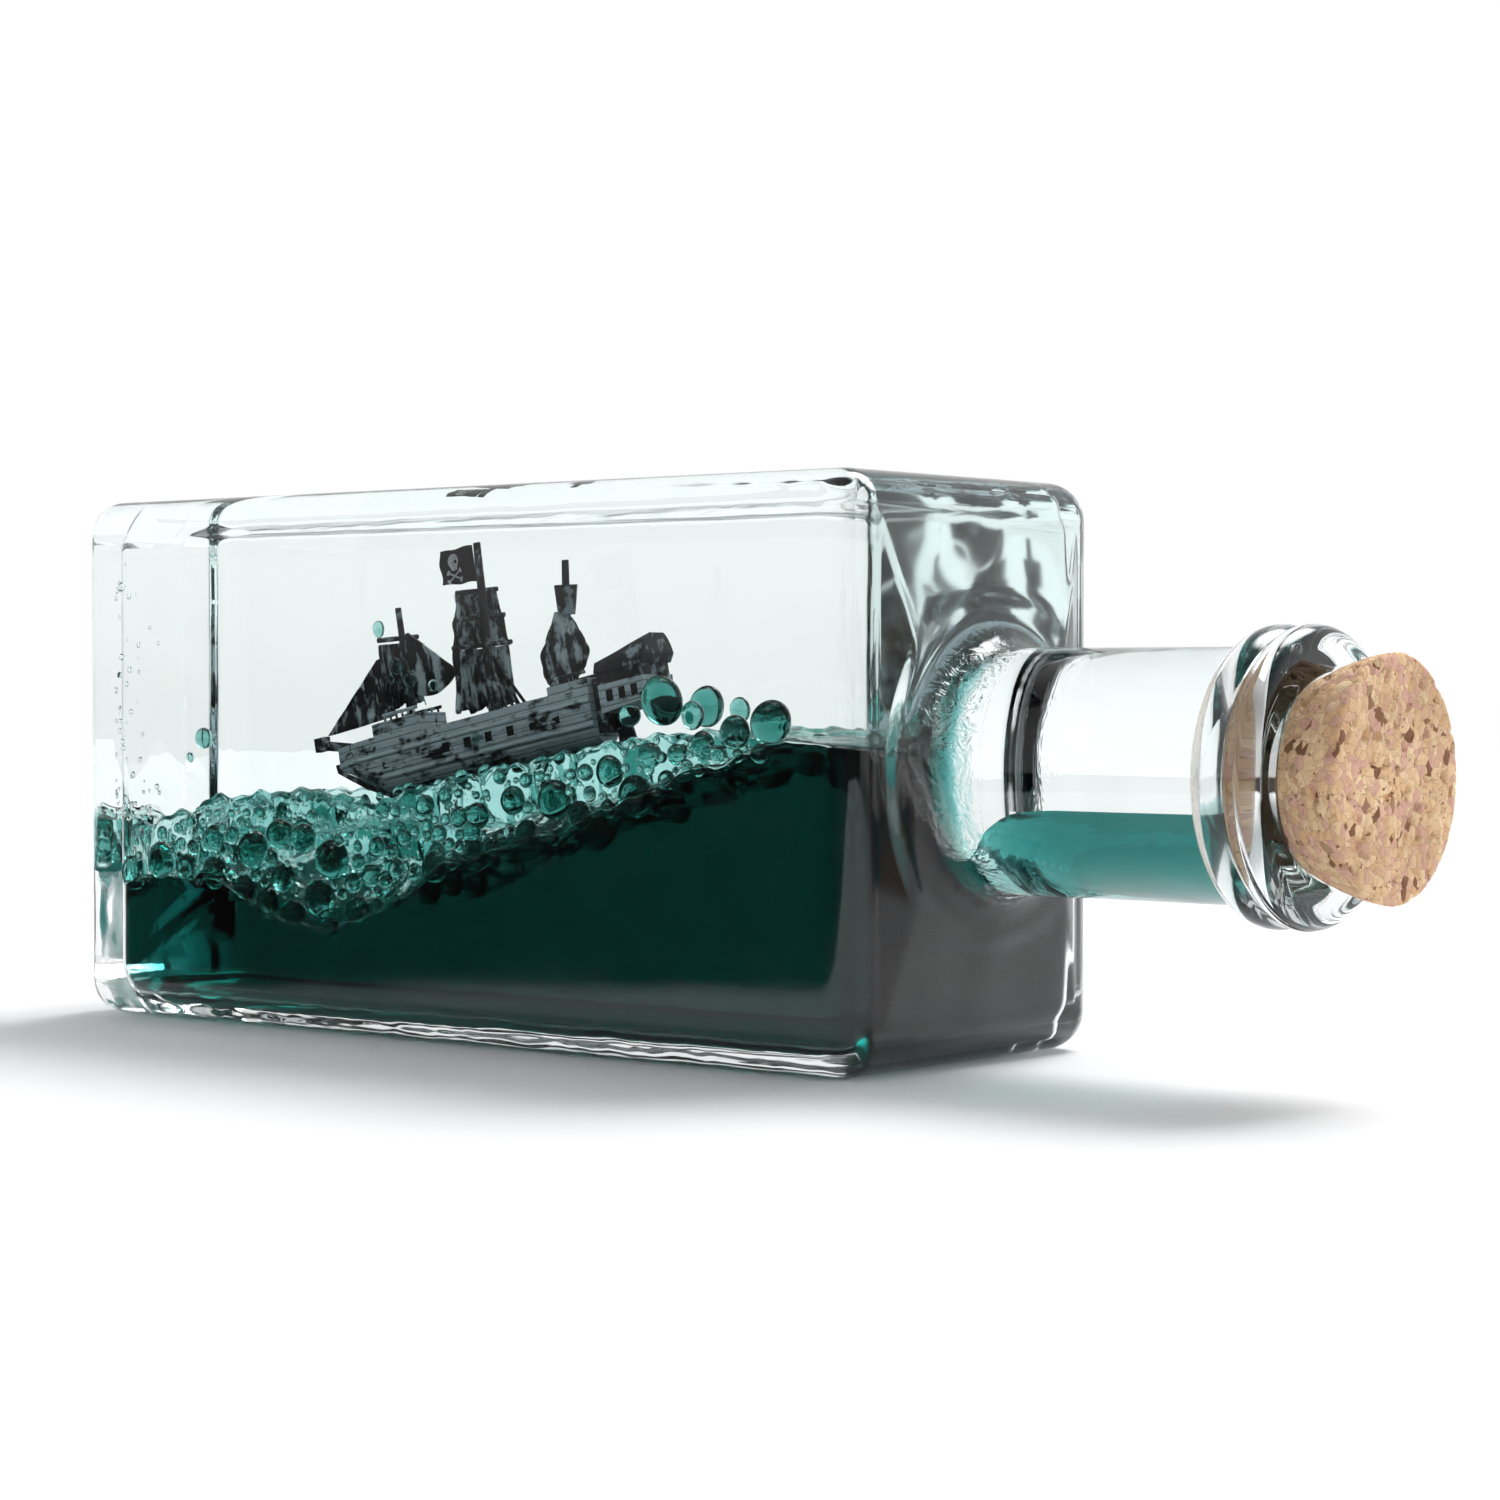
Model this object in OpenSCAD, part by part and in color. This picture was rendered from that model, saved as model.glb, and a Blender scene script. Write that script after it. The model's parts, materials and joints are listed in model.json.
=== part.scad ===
// Liquid-wave ship in a bottle.
// A rectangular glass bottle lies on its long side. It holds dyed water, a layer of
// foam and clear oil, and a small sailing ship floats where they meet.
// Frame: +X runs from the base to the cork, +Z is up, and the origin is the centre of
// the resting footprint, under the middle of the whole object (bottle and cork).

/* [Bottle] */
// Length of the rectangular body along X
body_l = 115; // [105:1:125]
// Depth of the body along Y
body_w = 43; // [40:0.5:48]
// Height of the body along Z
body_h = 60; // [57:0.5:66]
// Radius of the outer edges
edge_r = 4.2; // [3:0.1:6]
// Thickness of the long walls
wall = 3; // [2.5:0.1:3.5]
// Thickness of the base, the end away from the neck
base_t = 5; // [4:0.1:6]
// Radius of the cavity's edges
cavity_r = 3; // [2:0.1:4]

/* [Neck and lip] */
// Outer radius of the neck
neck_r = 12.4; // [11.5:0.1:13.5]
// Radius of the bore
bore_r = 9.25; // [8.5:0.05:9.5]
// Radius of the round boss that the neck grows out of
boss_r = 16.5; // [15:0.1:18]
// Height of the hipped shoulder above the end of the body
shoulder_h = 1.5; // [1:0.1:3]
// Distance from the end of the body to the mouth
mouth_t = 40; // [38:0.5:44]
// Outer radius of the two lip beads
lip_r = 14.5; // [14:0.1:16]

/* [Cork] */
// Length of the cork that stands in the bore
cork_in = 6; // [5:0.1:10]
// Length of the cork that stands out of the mouth
cork_out = 7.2; // [5:0.1:12]
// Radius of the cork's outer face
cork_r = 12; // [11:0.1:13]
// Radial clearance between the cork and the bore
cork_gap = 0.05; // [0.02:0.01:0.1]

/* [Liquids] */
// Height of the water's surface in the trough of the wave
trough_z = 11; // [8:0.5:14]
// Height of the water's surface at the crest, against the shoulder
crest_z = 32; // [28:0.5:32.5]
// Height of the water in the neck
neck_level = 27; // [24:0.5:29]
// Depth of the dip where the water turns from the body into the neck
neck_dip = 4.5; // [3:0.5:5]
// Height of the foam's surface at X = 0
foam_mid_z = 29.6; // [29:0.1:30]
// Rise of the foam's surface per millimetre along X
foam_rise = 0.105; // [0.095:0.005:0.12]

/* [Ship] */
// X of the ship's own origin, amidships
ship_x = -24; // [-30:0.5:-20]
// Z of the ship's own origin, near its waterline
ship_z = 31; // [31:0.1:31.5]
// Angle by which the bow is down
trim = 11.4; // [9:0.1:13]
// Half width of the hull amidships
half_beam = 4.4; // [4:0.1:4.8]
// Angle by which the yards are braced round their masts
brace = 22; // [0:1:25]

/* [Hidden] */

$fn = 48;
eps = 0.01;

// Places along X: the base, the end of the body, and the mouth
total_l = body_l + mouth_t + cork_out;
base_x = -total_l / 2;
end_x = base_x + body_l;
mouth_x = end_x + mouth_t;
axis_z = body_h / 2;

// The shoulder's hipped faces end on a flat of this half height and half width
hip_half_h = 13;
hip_half_w = 13;
fillet_r = boss_r - neck_r;
mouth_round = 1;
inner_round = 5;

// The two beads of the lip: place from the end of the body, and section radius
bead_t = [mouth_t - 5, mouth_t - 1.8];
bead_r = [2.6, 1.9];

// The seal is a thin disc behind the cork
seal_t = 0.9;
seal_gap = 0.1;

// Liquids stand off the glass by this much, so that no two solids share space
fill_gap = 0.05;
wave_x0 = base_x + base_t - 1;
wave_step = 4;
crest_x = end_x - wall - 1;
trough_x = -46;

// The oil leaves this channel clear, which holds the whole travel of the ship
channel_x = [-73, 17];
channel_half_w = 9.5;
hull_gap_x = [-58, 14];
hull_gap_half_w = 5.9;
hull_gap_depth = 3.2;

// Levels and thicknesses on the ship, in its own frame
deck_z = 3.4;
keel_top_z = -1.8;
keel_z = -2.4;
plank = 0.3;
bilge_z = 0.1;

// Stations of the hull: X, half width at the deck, half width at the bilge, height of
// the bottom, height of the bilge
STATIONS = [
    [-24.6, 0.4, 0.35, 2.6, 2.9],
    [-20.5, 2.3, 1.7, 0.4, 1.3],
    [-15.5, 3.6, 3.0, keel_top_z, bilge_z],
    [-6.0, half_beam - 0.1, half_beam - 0.4, keel_top_z, bilge_z],
    [6.0, half_beam, half_beam - 0.3, keel_top_z, bilge_z],
    [15.6, half_beam - 0.5, half_beam - 0.9, keel_top_z, bilge_z]
];

// Half width of the deck line, and of the bilge line, at a place along the ship
function deck_half(x) = lookup(x, [for (s = STATIONS) [s[0], s[1]]]);
function bilge_half(x) = lookup(x, [for (s = STATIONS) [s[0], s[2]]]);
// Half width of the hull at height z, abaft its third station
function side_half(x, z) =
    bilge_half(x) + (deck_half(x) - bilge_half(x)) * (z - bilge_z) / (deck_z - bilge_z);

// Surfaces of the water and of the foam, along X
function wave_z(x) = (trough_z + crest_z) / 2
    - (crest_z - trough_z) / 2 * cos(180 * (x - trough_x) / (crest_x - trough_x));
function foam_z(x) = foam_mid_z + foam_rise * x;
WAVE = concat([for (x = [wave_x0 : wave_step : crest_x - wave_step]) [x, wave_z(x)]],
              [[crest_x, crest_z]]);
FOAM = [[wave_x0, foam_z(wave_x0)], [crest_x, foam_z(crest_x)]];
// The water's surface from the shoulder into the neck, up to the seal
seal_x = mouth_x - cork_in - 2 * seal_gap - seal_t;
NECK_LINE = [[end_x + 1, neck_level - neck_dip], [end_x + 3, neck_level - neck_dip],
             [end_x + 7, neck_level - neck_dip / 3], [end_x + 13, neck_level],
             [seal_x, neck_level]];

// ---------- helpers ----------

module rounded_rect(a, b, r) {
    square([a - 2 * r, b], center = true);
    square([a, b - 2 * r], center = true);
    for (sx = [-1, 1], sy = [-1, 1])
        translate([sx * (a / 2 - r), sy * (b / 2 - r)]) circle(r);
}

// A box from x0 along +X, centred on the axis, with every edge rounded
module rounded_box(x0, l, w, h, r) {
    translate([x0 + l / 2, 0, axis_z])
        intersection() {
            linear_extrude(h, center = true) rounded_rect(l, w, r);
            rotate([90, 0, 0]) linear_extrude(w, center = true) rounded_rect(l, h, r);
            rotate([0, 90, 0]) linear_extrude(l, center = true) rounded_rect(h, w, r);
        }
}

// Turns a profile of [radius, distance] about the neck's axis
module turned(x0) {
    translate([x0, 0, axis_z]) rotate([0, 90, 0]) rotate_extrude() children();
}

// A prism along Y from a profile of [x, z], between y0 and y1
module slab_y(points, y0, y1) {
    translate([0, y1, 0]) rotate([90, 0, 0]) linear_extrude(y1 - y0) polygon(points);
}

// A straight round rod from a to b
module rod(a, b, r) {
    d = b - a;
    len = norm(d);
    translate(a)
        rotate([0, acos(d[2] / len), atan2(d[1], d[0])])
            cylinder(h = len, r = r, $fn = 16);
}

// Places the ship's own frame in the bottle, bow down
module on_ship() {
    translate([ship_x, 0, ship_z]) rotate([0, -trim, 0]) children();
}

// ---------- bottle, cork and seal ----------

// Four shallow faces that rise from the end of the body to the boss
module hipped_shoulder() {
    h0 = body_h / 2 - edge_r;
    w0 = body_w / 2 - edge_r;
    intersection() {
        translate([0, 0, axis_z])
            slab_y([[end_x - eps, -h0], [end_x - eps, h0],
                    [end_x + shoulder_h, hip_half_h], [end_x + shoulder_h, -hip_half_h]],
                   -body_w / 2, body_w / 2);
        linear_extrude(body_h)
                polygon([[end_x - eps, -w0], [end_x + shoulder_h, -hip_half_w],
                     [end_x + shoulder_h, hip_half_w], [end_x - eps, w0]]);
    }
}

module neck_outside() {
    turned(end_x - 1) square([boss_r, 1 + shoulder_h]);
    turned(end_x + shoulder_h)
        difference() {
            square([boss_r, fillet_r]);
            translate([boss_r, fillet_r]) circle(fillet_r);
        }
    turned(end_x - 1) square([neck_r, mouth_t]);
    for (i = [0, 1])
        turned(end_x + bead_t[i]) {
            translate([lip_r - bead_r[i], 0]) circle(bead_r[i]);
            translate([0, -bead_r[i]]) square([lip_r - bead_r[i], 2 * bead_r[i]]);
        }
}

// The hollow inside the glass; gap shrinks it for the liquids that fill it
module cavity(gap = 0) {
    rounded_box(base_x + base_t + gap, body_l - base_t - wall - 2 * gap,
                body_w - 2 * wall - 2 * gap, body_h - 2 * wall - 2 * gap, cavity_r);
    turned(end_x - wall - gap - eps)
        difference() {
            square([bore_r - gap + inner_round, inner_round + gap]);
            translate([bore_r - gap + inner_round, inner_round + gap])
                circle(inner_round);
        }
    turned(end_x - wall) square([bore_r - gap, mouth_t + 2 * wall]);
}

module bottle() {
    color([0.86, 0.94, 0.93, 0.35])
        difference() {
            union() {
                rounded_box(base_x, body_l, body_w, body_h, edge_r);
                hipped_shoulder();
                neck_outside();
            }
            cavity();
            turned(mouth_x - mouth_round)
                difference() {
                    square([bore_r + mouth_round, 4 * mouth_round]);
                    translate([bore_r + mouth_round, 0]) circle(mouth_round);
                }
        }
}

module cork() {
    in_r = bore_r - cork_gap;
    color([0.76, 0.6, 0.42])
        turned(mouth_x)
            polygon([[0, -cork_in], [in_r - 0.3, -cork_in], [in_r, -cork_in + 0.3],
                     [in_r, -0.8], [in_r + 0.45, 0], [in_r + 1.3, 0.2 * cork_out],
                     [cork_r - 0.4, 0.65 * cork_out], [cork_r, cork_out - 0.6],
                     [cork_r - 0.6, cork_out], [0, cork_out]]);
}

module inner_seal() {
    color([0.9, 0.92, 0.92])
        turned(mouth_x - cork_in - seal_gap - seal_t)
            square([bore_r - cork_gap, seal_t]);
}

// ---------- liquids ----------

// The part of the cavity between two outlines of [x, z], up to the seal
module filling(points) {
    intersection() {
        cavity(fill_gap);
        slab_y(points, -body_w / 2, body_w / 2);
    }
}

module dyed_water() {
    color([0.02, 0.32, 0.28])
        filling(concat([[wave_x0, 0]], WAVE, NECK_LINE, [[seal_x, 0]]));
}

// The foam stands clear of the hull over the whole pitch and drift
module foam() {
    x = hull_gap_x;
    color([0.45, 0.8, 0.74])
        difference() {
            filling(concat(WAVE, [FOAM[1], FOAM[0]]));
            slab_y([[x[0], foam_z(x[0]) - hull_gap_depth], [x[1], foam_z(x[1]) - hull_gap_depth],
                    [x[1], foam_z(x[1]) + 5], [x[0], foam_z(x[0]) + 5]],
                   -hull_gap_half_w, hull_gap_half_w);
        }
}

module clear_oil() {
    color([0.95, 0.98, 0.97, 0.3])
        difference() {
            filling(concat([[wave_x0, body_h]], FOAM, [[crest_x, crest_z]], NECK_LINE,
                           [[seal_x, body_h]]));
            translate([channel_x[0], -channel_half_w, 0])
                cube([channel_x[1] - channel_x[0], 2 * channel_half_w, body_h]);
        }
}

// Bubbles that gather at the waterline, in a row on each side of the ship
module wake_bubbles() {
    color([0.5, 0.85, 0.8])
        for (side = [-1, 1], i = [0 : 10]) {
            r = 0.9 + 0.35 * abs(sin(70 * i + 40 * side));
            x = ship_x - 17 + 3.6 * i;
            translate([x, side * (half_beam + 3 + 0.3 * sin(90 * i)), foam_z(x) + r + 0.15])
                sphere(r, $fn = 24);
        }
}

// ---------- hull ----------

// One cross-section of the hull, a thin plate across the ship
module station(s) {
    translate([s[0], 0, 0]) rotate([90, 0, 90])
        linear_extrude(eps)
            polygon([[-s[1], deck_z], [-s[2], s[4]], [-0.25, s[3]],
                     [0.25, s[3]], [s[2], s[4]], [s[1], deck_z]]);
}

module hull_form() {
    for (i = [0 : len(STATIONS) - 2])
        hull() {
            station(STATIONS[i]);
            station(STATIONS[i + 1]);
        }
}

// A plate in the shape of the deck between x0 and x1, drawn in by inset
module deck_plan(x0, x1, inset, z0, z1) {
    xs = concat([x0], [for (s = STATIONS) if (s[0] > x0 && s[0] < x1) s[0]], [x1]);
    translate([0, 0, z0])
        linear_extrude(z1 - z0)
            polygon(concat([for (x = xs) [x, deck_half(x) - inset]],
                           [for (i = [len(xs) - 1 : -1 : 0])
                               [xs[i], inset - deck_half(xs[i])]]));
}

module hull_body() {
    color([0.2, 0.24, 0.27]) on_ship() hull_form();
}

module keel() {
    bottom = [for (i = [len(STATIONS) - 1 : -1 : 0]) [STATIONS[i][0], STATIONS[i][3]]];
    color([0.07, 0.08, 0.09]) on_ship()
        slab_y(concat([[-25.4, deck_z], [-25.2, 2.4], [-20.9, -0.2], [-16, keel_z],
                       [17, keel_z], [17, keel_top_z]], bottom, [[-24.6, deck_z]]),
               -0.25, 0.25);
}

module rudder() {
    color([0.12, 0.15, 0.18]) on_ship()
        slab_y([[17.1, keel_z], [19.4, keel_z + 0.2], [19.0, -0.2], [18.4, 1.1],
                [17.1, 1.1]], -0.3, 0.3);
}

module deck() {
    color([0.16, 0.18, 0.2]) on_ship()
        deck_plan(-9.4, 9.9, 0.55, deck_z, deck_z + plank);
}

module bulwarks() {
    color([0.2, 0.24, 0.27]) on_ship()
        difference() {
            deck_plan(-9.4, 9.9, 0, deck_z, deck_z + 1.1);
            deck_plan(-9.6, 10.1, 0.5, deck_z - 1, deck_z + 2);
        }
}

// Two rubbing strakes, one on each side
module wales() {
    color([0.1, 0.12, 0.14]) on_ship()
        difference() {
            translate([0, 0, bilge_z + 0.1])
                linear_extrude(0.4)
                    polygon(concat([for (i = [2 : len(STATIONS) - 1])
                                       [STATIONS[i][0], STATIONS[i][2] + 0.3]],
                                   [for (i = [len(STATIONS) - 1 : -1 : 2])
                                       [STATIONS[i][0], -STATIONS[i][2] - 0.3]]));
            hull_form();
        }
}

module gun_ports() {
    color([0.03, 0.03, 0.04]) on_ship()
        difference() {
            for (side = [-1, 1], i = [0 : 8]) {
                x = -15.6 + 3.3 * i;
                translate([x - 0.55, side * side_half(x, 2) - 0.25, 1.3])
                    cube([1.1, 0.5, 1.1]);
            }
            hull_form();
        }
}

// ---------- upper works ----------

module forecastle() {
    color([0.18, 0.21, 0.24]) on_ship() {
        deck_plan(-24.6, -9.5, 0, deck_z, 5.2);
        deck_plan(-17.4, -9.5, 0.25, 5.2 - eps, 6.6);
    }
}

// A rail with posts down both sides of a raised deck
module side_rail(x0, x1, inset, z0, h, pitch) {
    for (side = [-1, 1]) {
        for (x = [x0 + 0.3 : pitch : x1 - 0.3])
            translate([x, side * (deck_half(x) - inset), z0])
                cylinder(h = h - 0.25, r = 0.16, $fn = 16);
        rod([x0, side * (deck_half(x0) - inset), z0 + h - 0.2],
            [x1, side * (deck_half(x1) - inset), z0 + h - 0.2], 0.2);
    }
}

module forecastle_rail() {
    color([0.25, 0.3, 0.33]) on_ship() side_rail(-15.4, -9.8, 0.6, 6.6, 0.9, 0.95);
}

module quarterdeck() {
    color([0.18, 0.21, 0.24]) on_ship()
        deck_plan(10, 15.6, 0.05, deck_z, 5.4);
}

module quarterdeck_rail() {
    color([0.25, 0.3, 0.33]) on_ship() side_rail(10.2, 15.4, 0.4, 5.4, 0.9, 0.95);
}

// The dark block that joins the stern gallery to the hull
module stern_block() {
    color([0.05, 0.05, 0.06]) on_ship()
        translate([15.7, -2.6, -0.6]) cube([1.4, 5.2, 5.8]);
}

module stern_gallery() {
    color([0.3, 0.36, 0.4]) on_ship()
        difference() {
            slab_y([[17.15, 1.2], [23.2, 1.6], [23.6, 4.2], [17.15, 4.2]], -4.1, 4.1);
            gallery_panes(0.3, 0.06);
        }
}

// Window panes in the gallery: three a side, and four across the stern
module gallery_panes(depth, grow) {
    for (side = [-1, 1], i = [0 : 2])
        translate([18.6 + 1.75 * i, side * 4.1, 2.9])
            cube([0.9 + grow, 2 * depth, 1.2 + grow], center = true);
    for (i = [0 : 3])
        translate([23.4, -2.55 + 1.7 * i, 2.9])
            cube([2 * depth, 0.9 + grow, 1.2 + grow], center = true);
}

module gallery_windows() {
    color([0.04, 0.05, 0.06]) on_ship()
        intersection() {
            gallery_panes(0.24, 0);
            slab_y([[17.15, 1.2], [23.2, 1.6], [23.6, 4.2], [17.15, 4.2]], -4.1, 4.1);
        }
}

module stern_castle() {
    color([0.08, 0.09, 0.1]) on_ship() {
        translate([17.15, -3.8, 4.2]) cube([6.2, 7.6, 1.3]);
        intersection() {
            slab_y([[16.9, 5.5], [16.9, 6.7], [20, 7.4], [24.3, 8.6], [24.2, 6.4],
                    [23.6, 5.5]], -4.2, 4.2);
            translate([15, 0, 3.6])
                rotate([0, 90 - 5, 0]) cylinder(h = 12, r = 4.6);
        }
    }
}

module stern_lantern() {
    color([0.1, 0.11, 0.12]) on_ship()
        translate([24.3, 0, 0]) {
            translate([0, 0, 2.6]) cylinder(h = 1.9, r = 0.6, $fn = 24);
            translate([0, 0, 4.5 - eps]) cylinder(h = 0.8, r1 = 0.6, r2 = 0.15, $fn = 24);
        }
}

module bowsprit() {
    color([0.06, 0.06, 0.07]) on_ship()
        difference() {
            union() {
                rod([-22.5, 0, 4.9], [-28, 0, 6.3], 0.55);
                translate([-28, -0.8, 5.4]) cube([1.7, 1.6, 1.6]);
            }
            deck_plan(-24.6, -9.5, 0, 0, 5.2);
        }
}

// ---------- masts and rigging ----------

// Foot of each mast, its length and its rake towards the stern
FORE = [-12.7, 6.6, 12.4, 2.3];
MAIN = [-0.3, deck_z + plank, 19.9, 3.5];
MIZZEN = [11, 5.4, 13.7, 9.7];

// X of a mast's axis at height z
function mast_x(m, z) = m[0] + (z - m[1]) * tan(m[3]);

module mast(m, r) {
    difference() {
        translate([m[0] - tan(m[3]), 0, m[1] - 1])
            rotate([0, m[3], 0]) cylinder(h = m[2] + 1, r1 = r, r2 = 0.7 * r, $fn = 24);
        translate([m[0] - 3, -3, m[1] - 4]) cube([6, 6, 4]);
    }
}

module foremast() {
    color([0.05, 0.05, 0.06]) on_ship() mast(FORE, 0.6);
}

module mainmast() {
    color([0.05, 0.05, 0.06]) on_ship() mast(MAIN, 0.7);
}

module mizzenmast() {
    color([0.05, 0.05, 0.06]) on_ship() mast(MIZZEN, 0.65);
}

module crows_nest() {
    color([0.08, 0.09, 0.1]) on_ship()
        difference() {
            translate([MIZZEN[0], 0, MIZZEN[1]]) rotate([0, MIZZEN[3], 0])
                translate([0, 0, 7.8]) cylinder(h = 3.2, r1 = 1.1, r2 = 1.5, $fn = 24);
            translate([MIZZEN[0], 0, MIZZEN[1]]) rotate([0, MIZZEN[3], 0])
                cylinder(h = 16, r = 0.66, $fn = 24);
        }
}

yard_r = 0.28;

// Turns what is hung on a mast, at height z, round that mast
module braced(m, z) {
    translate([mast_x(m, z), 0, 0]) rotate([0, 0, -brace])
        translate([-mast_x(m, z), 0, 0]) children();
}

module yard(m, z, half, mast_r) {
    x = mast_x(m, z) - mast_r - yard_r - 0.05;
    braced(m, z) rod([x, -half, z], [x, half, z], yard_r);
}

MAIN_YARDS = [[12.4, 5.1], [15.5, 4.3], [18.4, 3.5]];
FORE_YARD = [15.7, 3.5];

module main_yards() {
    color([0.05, 0.05, 0.06]) on_ship()
        for (y = MAIN_YARDS) yard(MAIN, y[0], y[1], 0.7);
}

module fore_yard() {
    color([0.05, 0.05, 0.06]) on_ship() yard(FORE, FORE_YARD[0], FORE_YARD[1], 0.6);
}

// A square sail across the ship that bellies towards the bow. m is its mast, z0 and z1
// its foot and head, and half0 and half1 the half widths there.
module square_sail(m, mast_r, z0, z1, half0, half1, belly) {
    thick = 0.5;
    half = max(half0, half1);
    arc_r = (half * half + belly * belly) / (2 * belly);
    aft_x = mast_x(m, z0) - mast_r - 0.1;
    intersection() {
        translate([aft_x - belly - thick + arc_r, 0, z0])
            difference() {
                cylinder(h = z1 - z0, r = arc_r, $fn = 96);
                translate([0, 0, -1]) cylinder(h = z1 - z0 + 2, r = arc_r - thick, $fn = 96);
            }
        translate([aft_x - 20, 0, 0])
            rotate([90, 0, 90])
                linear_extrude(20)
                    polygon([[-half0, z0 - 1], [-half0, z0], [-half1, z1], [half1, z1],
                             [half0, z0], [half0, z0 - 1]]);
    }
}

module foresail() {
    color([0.06, 0.07, 0.08]) on_ship()
        braced(FORE, 8.2) square_sail(FORE, 0.6, 8.2, 15.2, 3.6, 3.0, 1.0);
}

module main_lower_sail() {
    color([0.07, 0.08, 0.09]) on_ship()
        braced(MAIN, 5.6) square_sail(MAIN, 0.7, 5.6, 11.9, 5.2, 4.6, 1.6);
}

module main_middle_sail() {
    color([0.07, 0.08, 0.09]) on_ship()
        braced(MAIN, 12.8) square_sail(MAIN, 0.7, 12.8, 15.1, 4.5, 4.0, 1.2);
}

module main_upper_sail() {
    color([0.07, 0.08, 0.09]) on_ship()
        braced(MAIN, 15.9) square_sail(MAIN, 0.7, 15.9, 18.0, 3.8, 3.3, 1.0);
}

module jib() {
    color([0.05, 0.05, 0.06]) on_ship()
        slab_y([[-26.0, 7.2], [-16.8, 14.0], [-15.4, 12.8], [-15.0, 7.4], [-19.5, 8.0]],
               -0.25, 0.25);
}

module staysail() {
    color([0.05, 0.05, 0.06]) on_ship()
        slab_y([[-11.7, 16.0], [-8.5, 13.6], [-4.6, 12.5], [-4.6, 9.7], [-6.5, 8.9],
                [-9.2, 8.7], [-11.7, 9.2]], -0.25, 0.25);
}

module mizzen_sail() {
    color([0.08, 0.09, 0.1]) on_ship()
        slab_y([[10.6, 13.0], [8.2, 9.6], [8.2, 7.0], [9.4, 6.4], [12.8, 6.5], [14.6, 9.0],
                [12.9, 12.6]], -1.35, -0.8);
}

// Three shrouds a side, from the deck's edge up to the mainmast
module shrouds() {
    color([0.05, 0.05, 0.06]) on_ship()
        for (side = [-1, 1], i = [0 : 2])
            rod([1.4 + 1.1 * i, side * 3.2, deck_z + plank + 0.2],
                [mast_x(MAIN, 11) + 0.2 + 0.25 * i, side * 0.95, 11 - 0.5 * i], 0.2);
}

// ---------- flag ----------

FLAG_FOOT = 19.3;
FLAG_HEAD = 23.5;

module flag() {
    x1 = mast_x(MAIN, FLAG_FOOT) - 0.62;
    color([0.04, 0.04, 0.05]) on_ship()
        slab_y([[x1, FLAG_FOOT], [x1, FLAG_HEAD], [x1 - 4.8, FLAG_HEAD + 0.2],
                [x1 - 5.0, FLAG_FOOT + 0.5]], -0.2, 0.2);
}

// A plain painted skull over two crossed bones
module flag_emblem() {
    x = mast_x(MAIN, FLAG_FOOT) - 3.9;
    color([0.92, 0.93, 0.92]) on_ship()
        translate([x, -0.21, 22.2]) rotate([90, 0, 0])
            linear_extrude(0.08) {
                difference() {
                    union() {
                        circle(0.75);
                        translate([-0.38, -1.05]) square([0.76, 0.6]);
                    }
                    for (side = [-1, 1]) translate([side * 0.3, -0.05]) circle(0.17);
                }
                for (a = [-35, 35])
                    translate([0, -1.75]) rotate(a) square([2, 0.24], center = true);
            }
}

// Beads of dyed water that cling to the ship: X, Y, Z and radius in its own frame
BEADS = [[-14.7, -1.9, 17.0, 0.9], [-11.2, -4.8, 12.2, 1.05], [-9.7, -4.6, 10.2, 0.8],
         [-0.7, -5.05, 2.0, 0.6]];

module water_beads() {
    color([0.1, 0.5, 0.45]) on_ship()
        for (b = BEADS) translate([b[0], b[1], b[2]]) sphere(b[3], $fn = 24);
}

bottle();
cork();
inner_seal();
dyed_water();
foam();
clear_oil();
wake_bubbles();
hull_body();  // hull
keel();
rudder();
deck();
bulwarks();
wales();
gun_ports();
forecastle();
forecastle_rail();
quarterdeck();
quarterdeck_rail();
stern_block();
stern_gallery();
gallery_windows();
stern_castle();
stern_lantern();
bowsprit();
foremast();
mainmast();
mizzenmast();
crows_nest();
main_yards();
fore_yard();
jib();
foresail();
staysail();
main_lower_sail();
main_middle_sail();
main_upper_sail();
mizzen_sail();
shrouds();
flag();
flag_emblem();
water_beads();
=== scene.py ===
"""Looks for the liquid-wave ship in a bottle.

Sizes are in millimetres and become metres when a mesh is made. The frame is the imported
part's own: +X from the base to the cork, +Z up, origin under the middle of the object.
"""
import json
import math

import bmesh
import bpy
import numpy as np
from mathutils import Matrix, Vector, noise


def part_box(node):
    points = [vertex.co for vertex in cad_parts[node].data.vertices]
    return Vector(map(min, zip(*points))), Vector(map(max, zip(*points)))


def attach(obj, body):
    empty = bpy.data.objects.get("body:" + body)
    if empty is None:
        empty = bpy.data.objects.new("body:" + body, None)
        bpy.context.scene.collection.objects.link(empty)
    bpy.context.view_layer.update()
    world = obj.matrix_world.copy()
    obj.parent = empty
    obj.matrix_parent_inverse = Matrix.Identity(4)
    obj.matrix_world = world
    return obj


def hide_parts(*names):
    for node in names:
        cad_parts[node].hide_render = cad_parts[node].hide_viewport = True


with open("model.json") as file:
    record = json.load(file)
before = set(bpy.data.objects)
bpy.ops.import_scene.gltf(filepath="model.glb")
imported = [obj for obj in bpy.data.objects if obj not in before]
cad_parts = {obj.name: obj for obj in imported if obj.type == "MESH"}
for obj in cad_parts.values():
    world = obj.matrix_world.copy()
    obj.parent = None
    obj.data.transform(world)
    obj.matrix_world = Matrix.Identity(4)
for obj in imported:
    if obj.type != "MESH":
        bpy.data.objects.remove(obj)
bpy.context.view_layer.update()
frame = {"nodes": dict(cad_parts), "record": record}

MM = 0.001


# ---------- places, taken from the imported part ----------

def box_mm(node):
    """Lowest and highest corner of a CAD node, in millimetres."""
    lo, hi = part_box(node)
    return np.array(lo) / MM, np.array(hi) / MM


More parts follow.
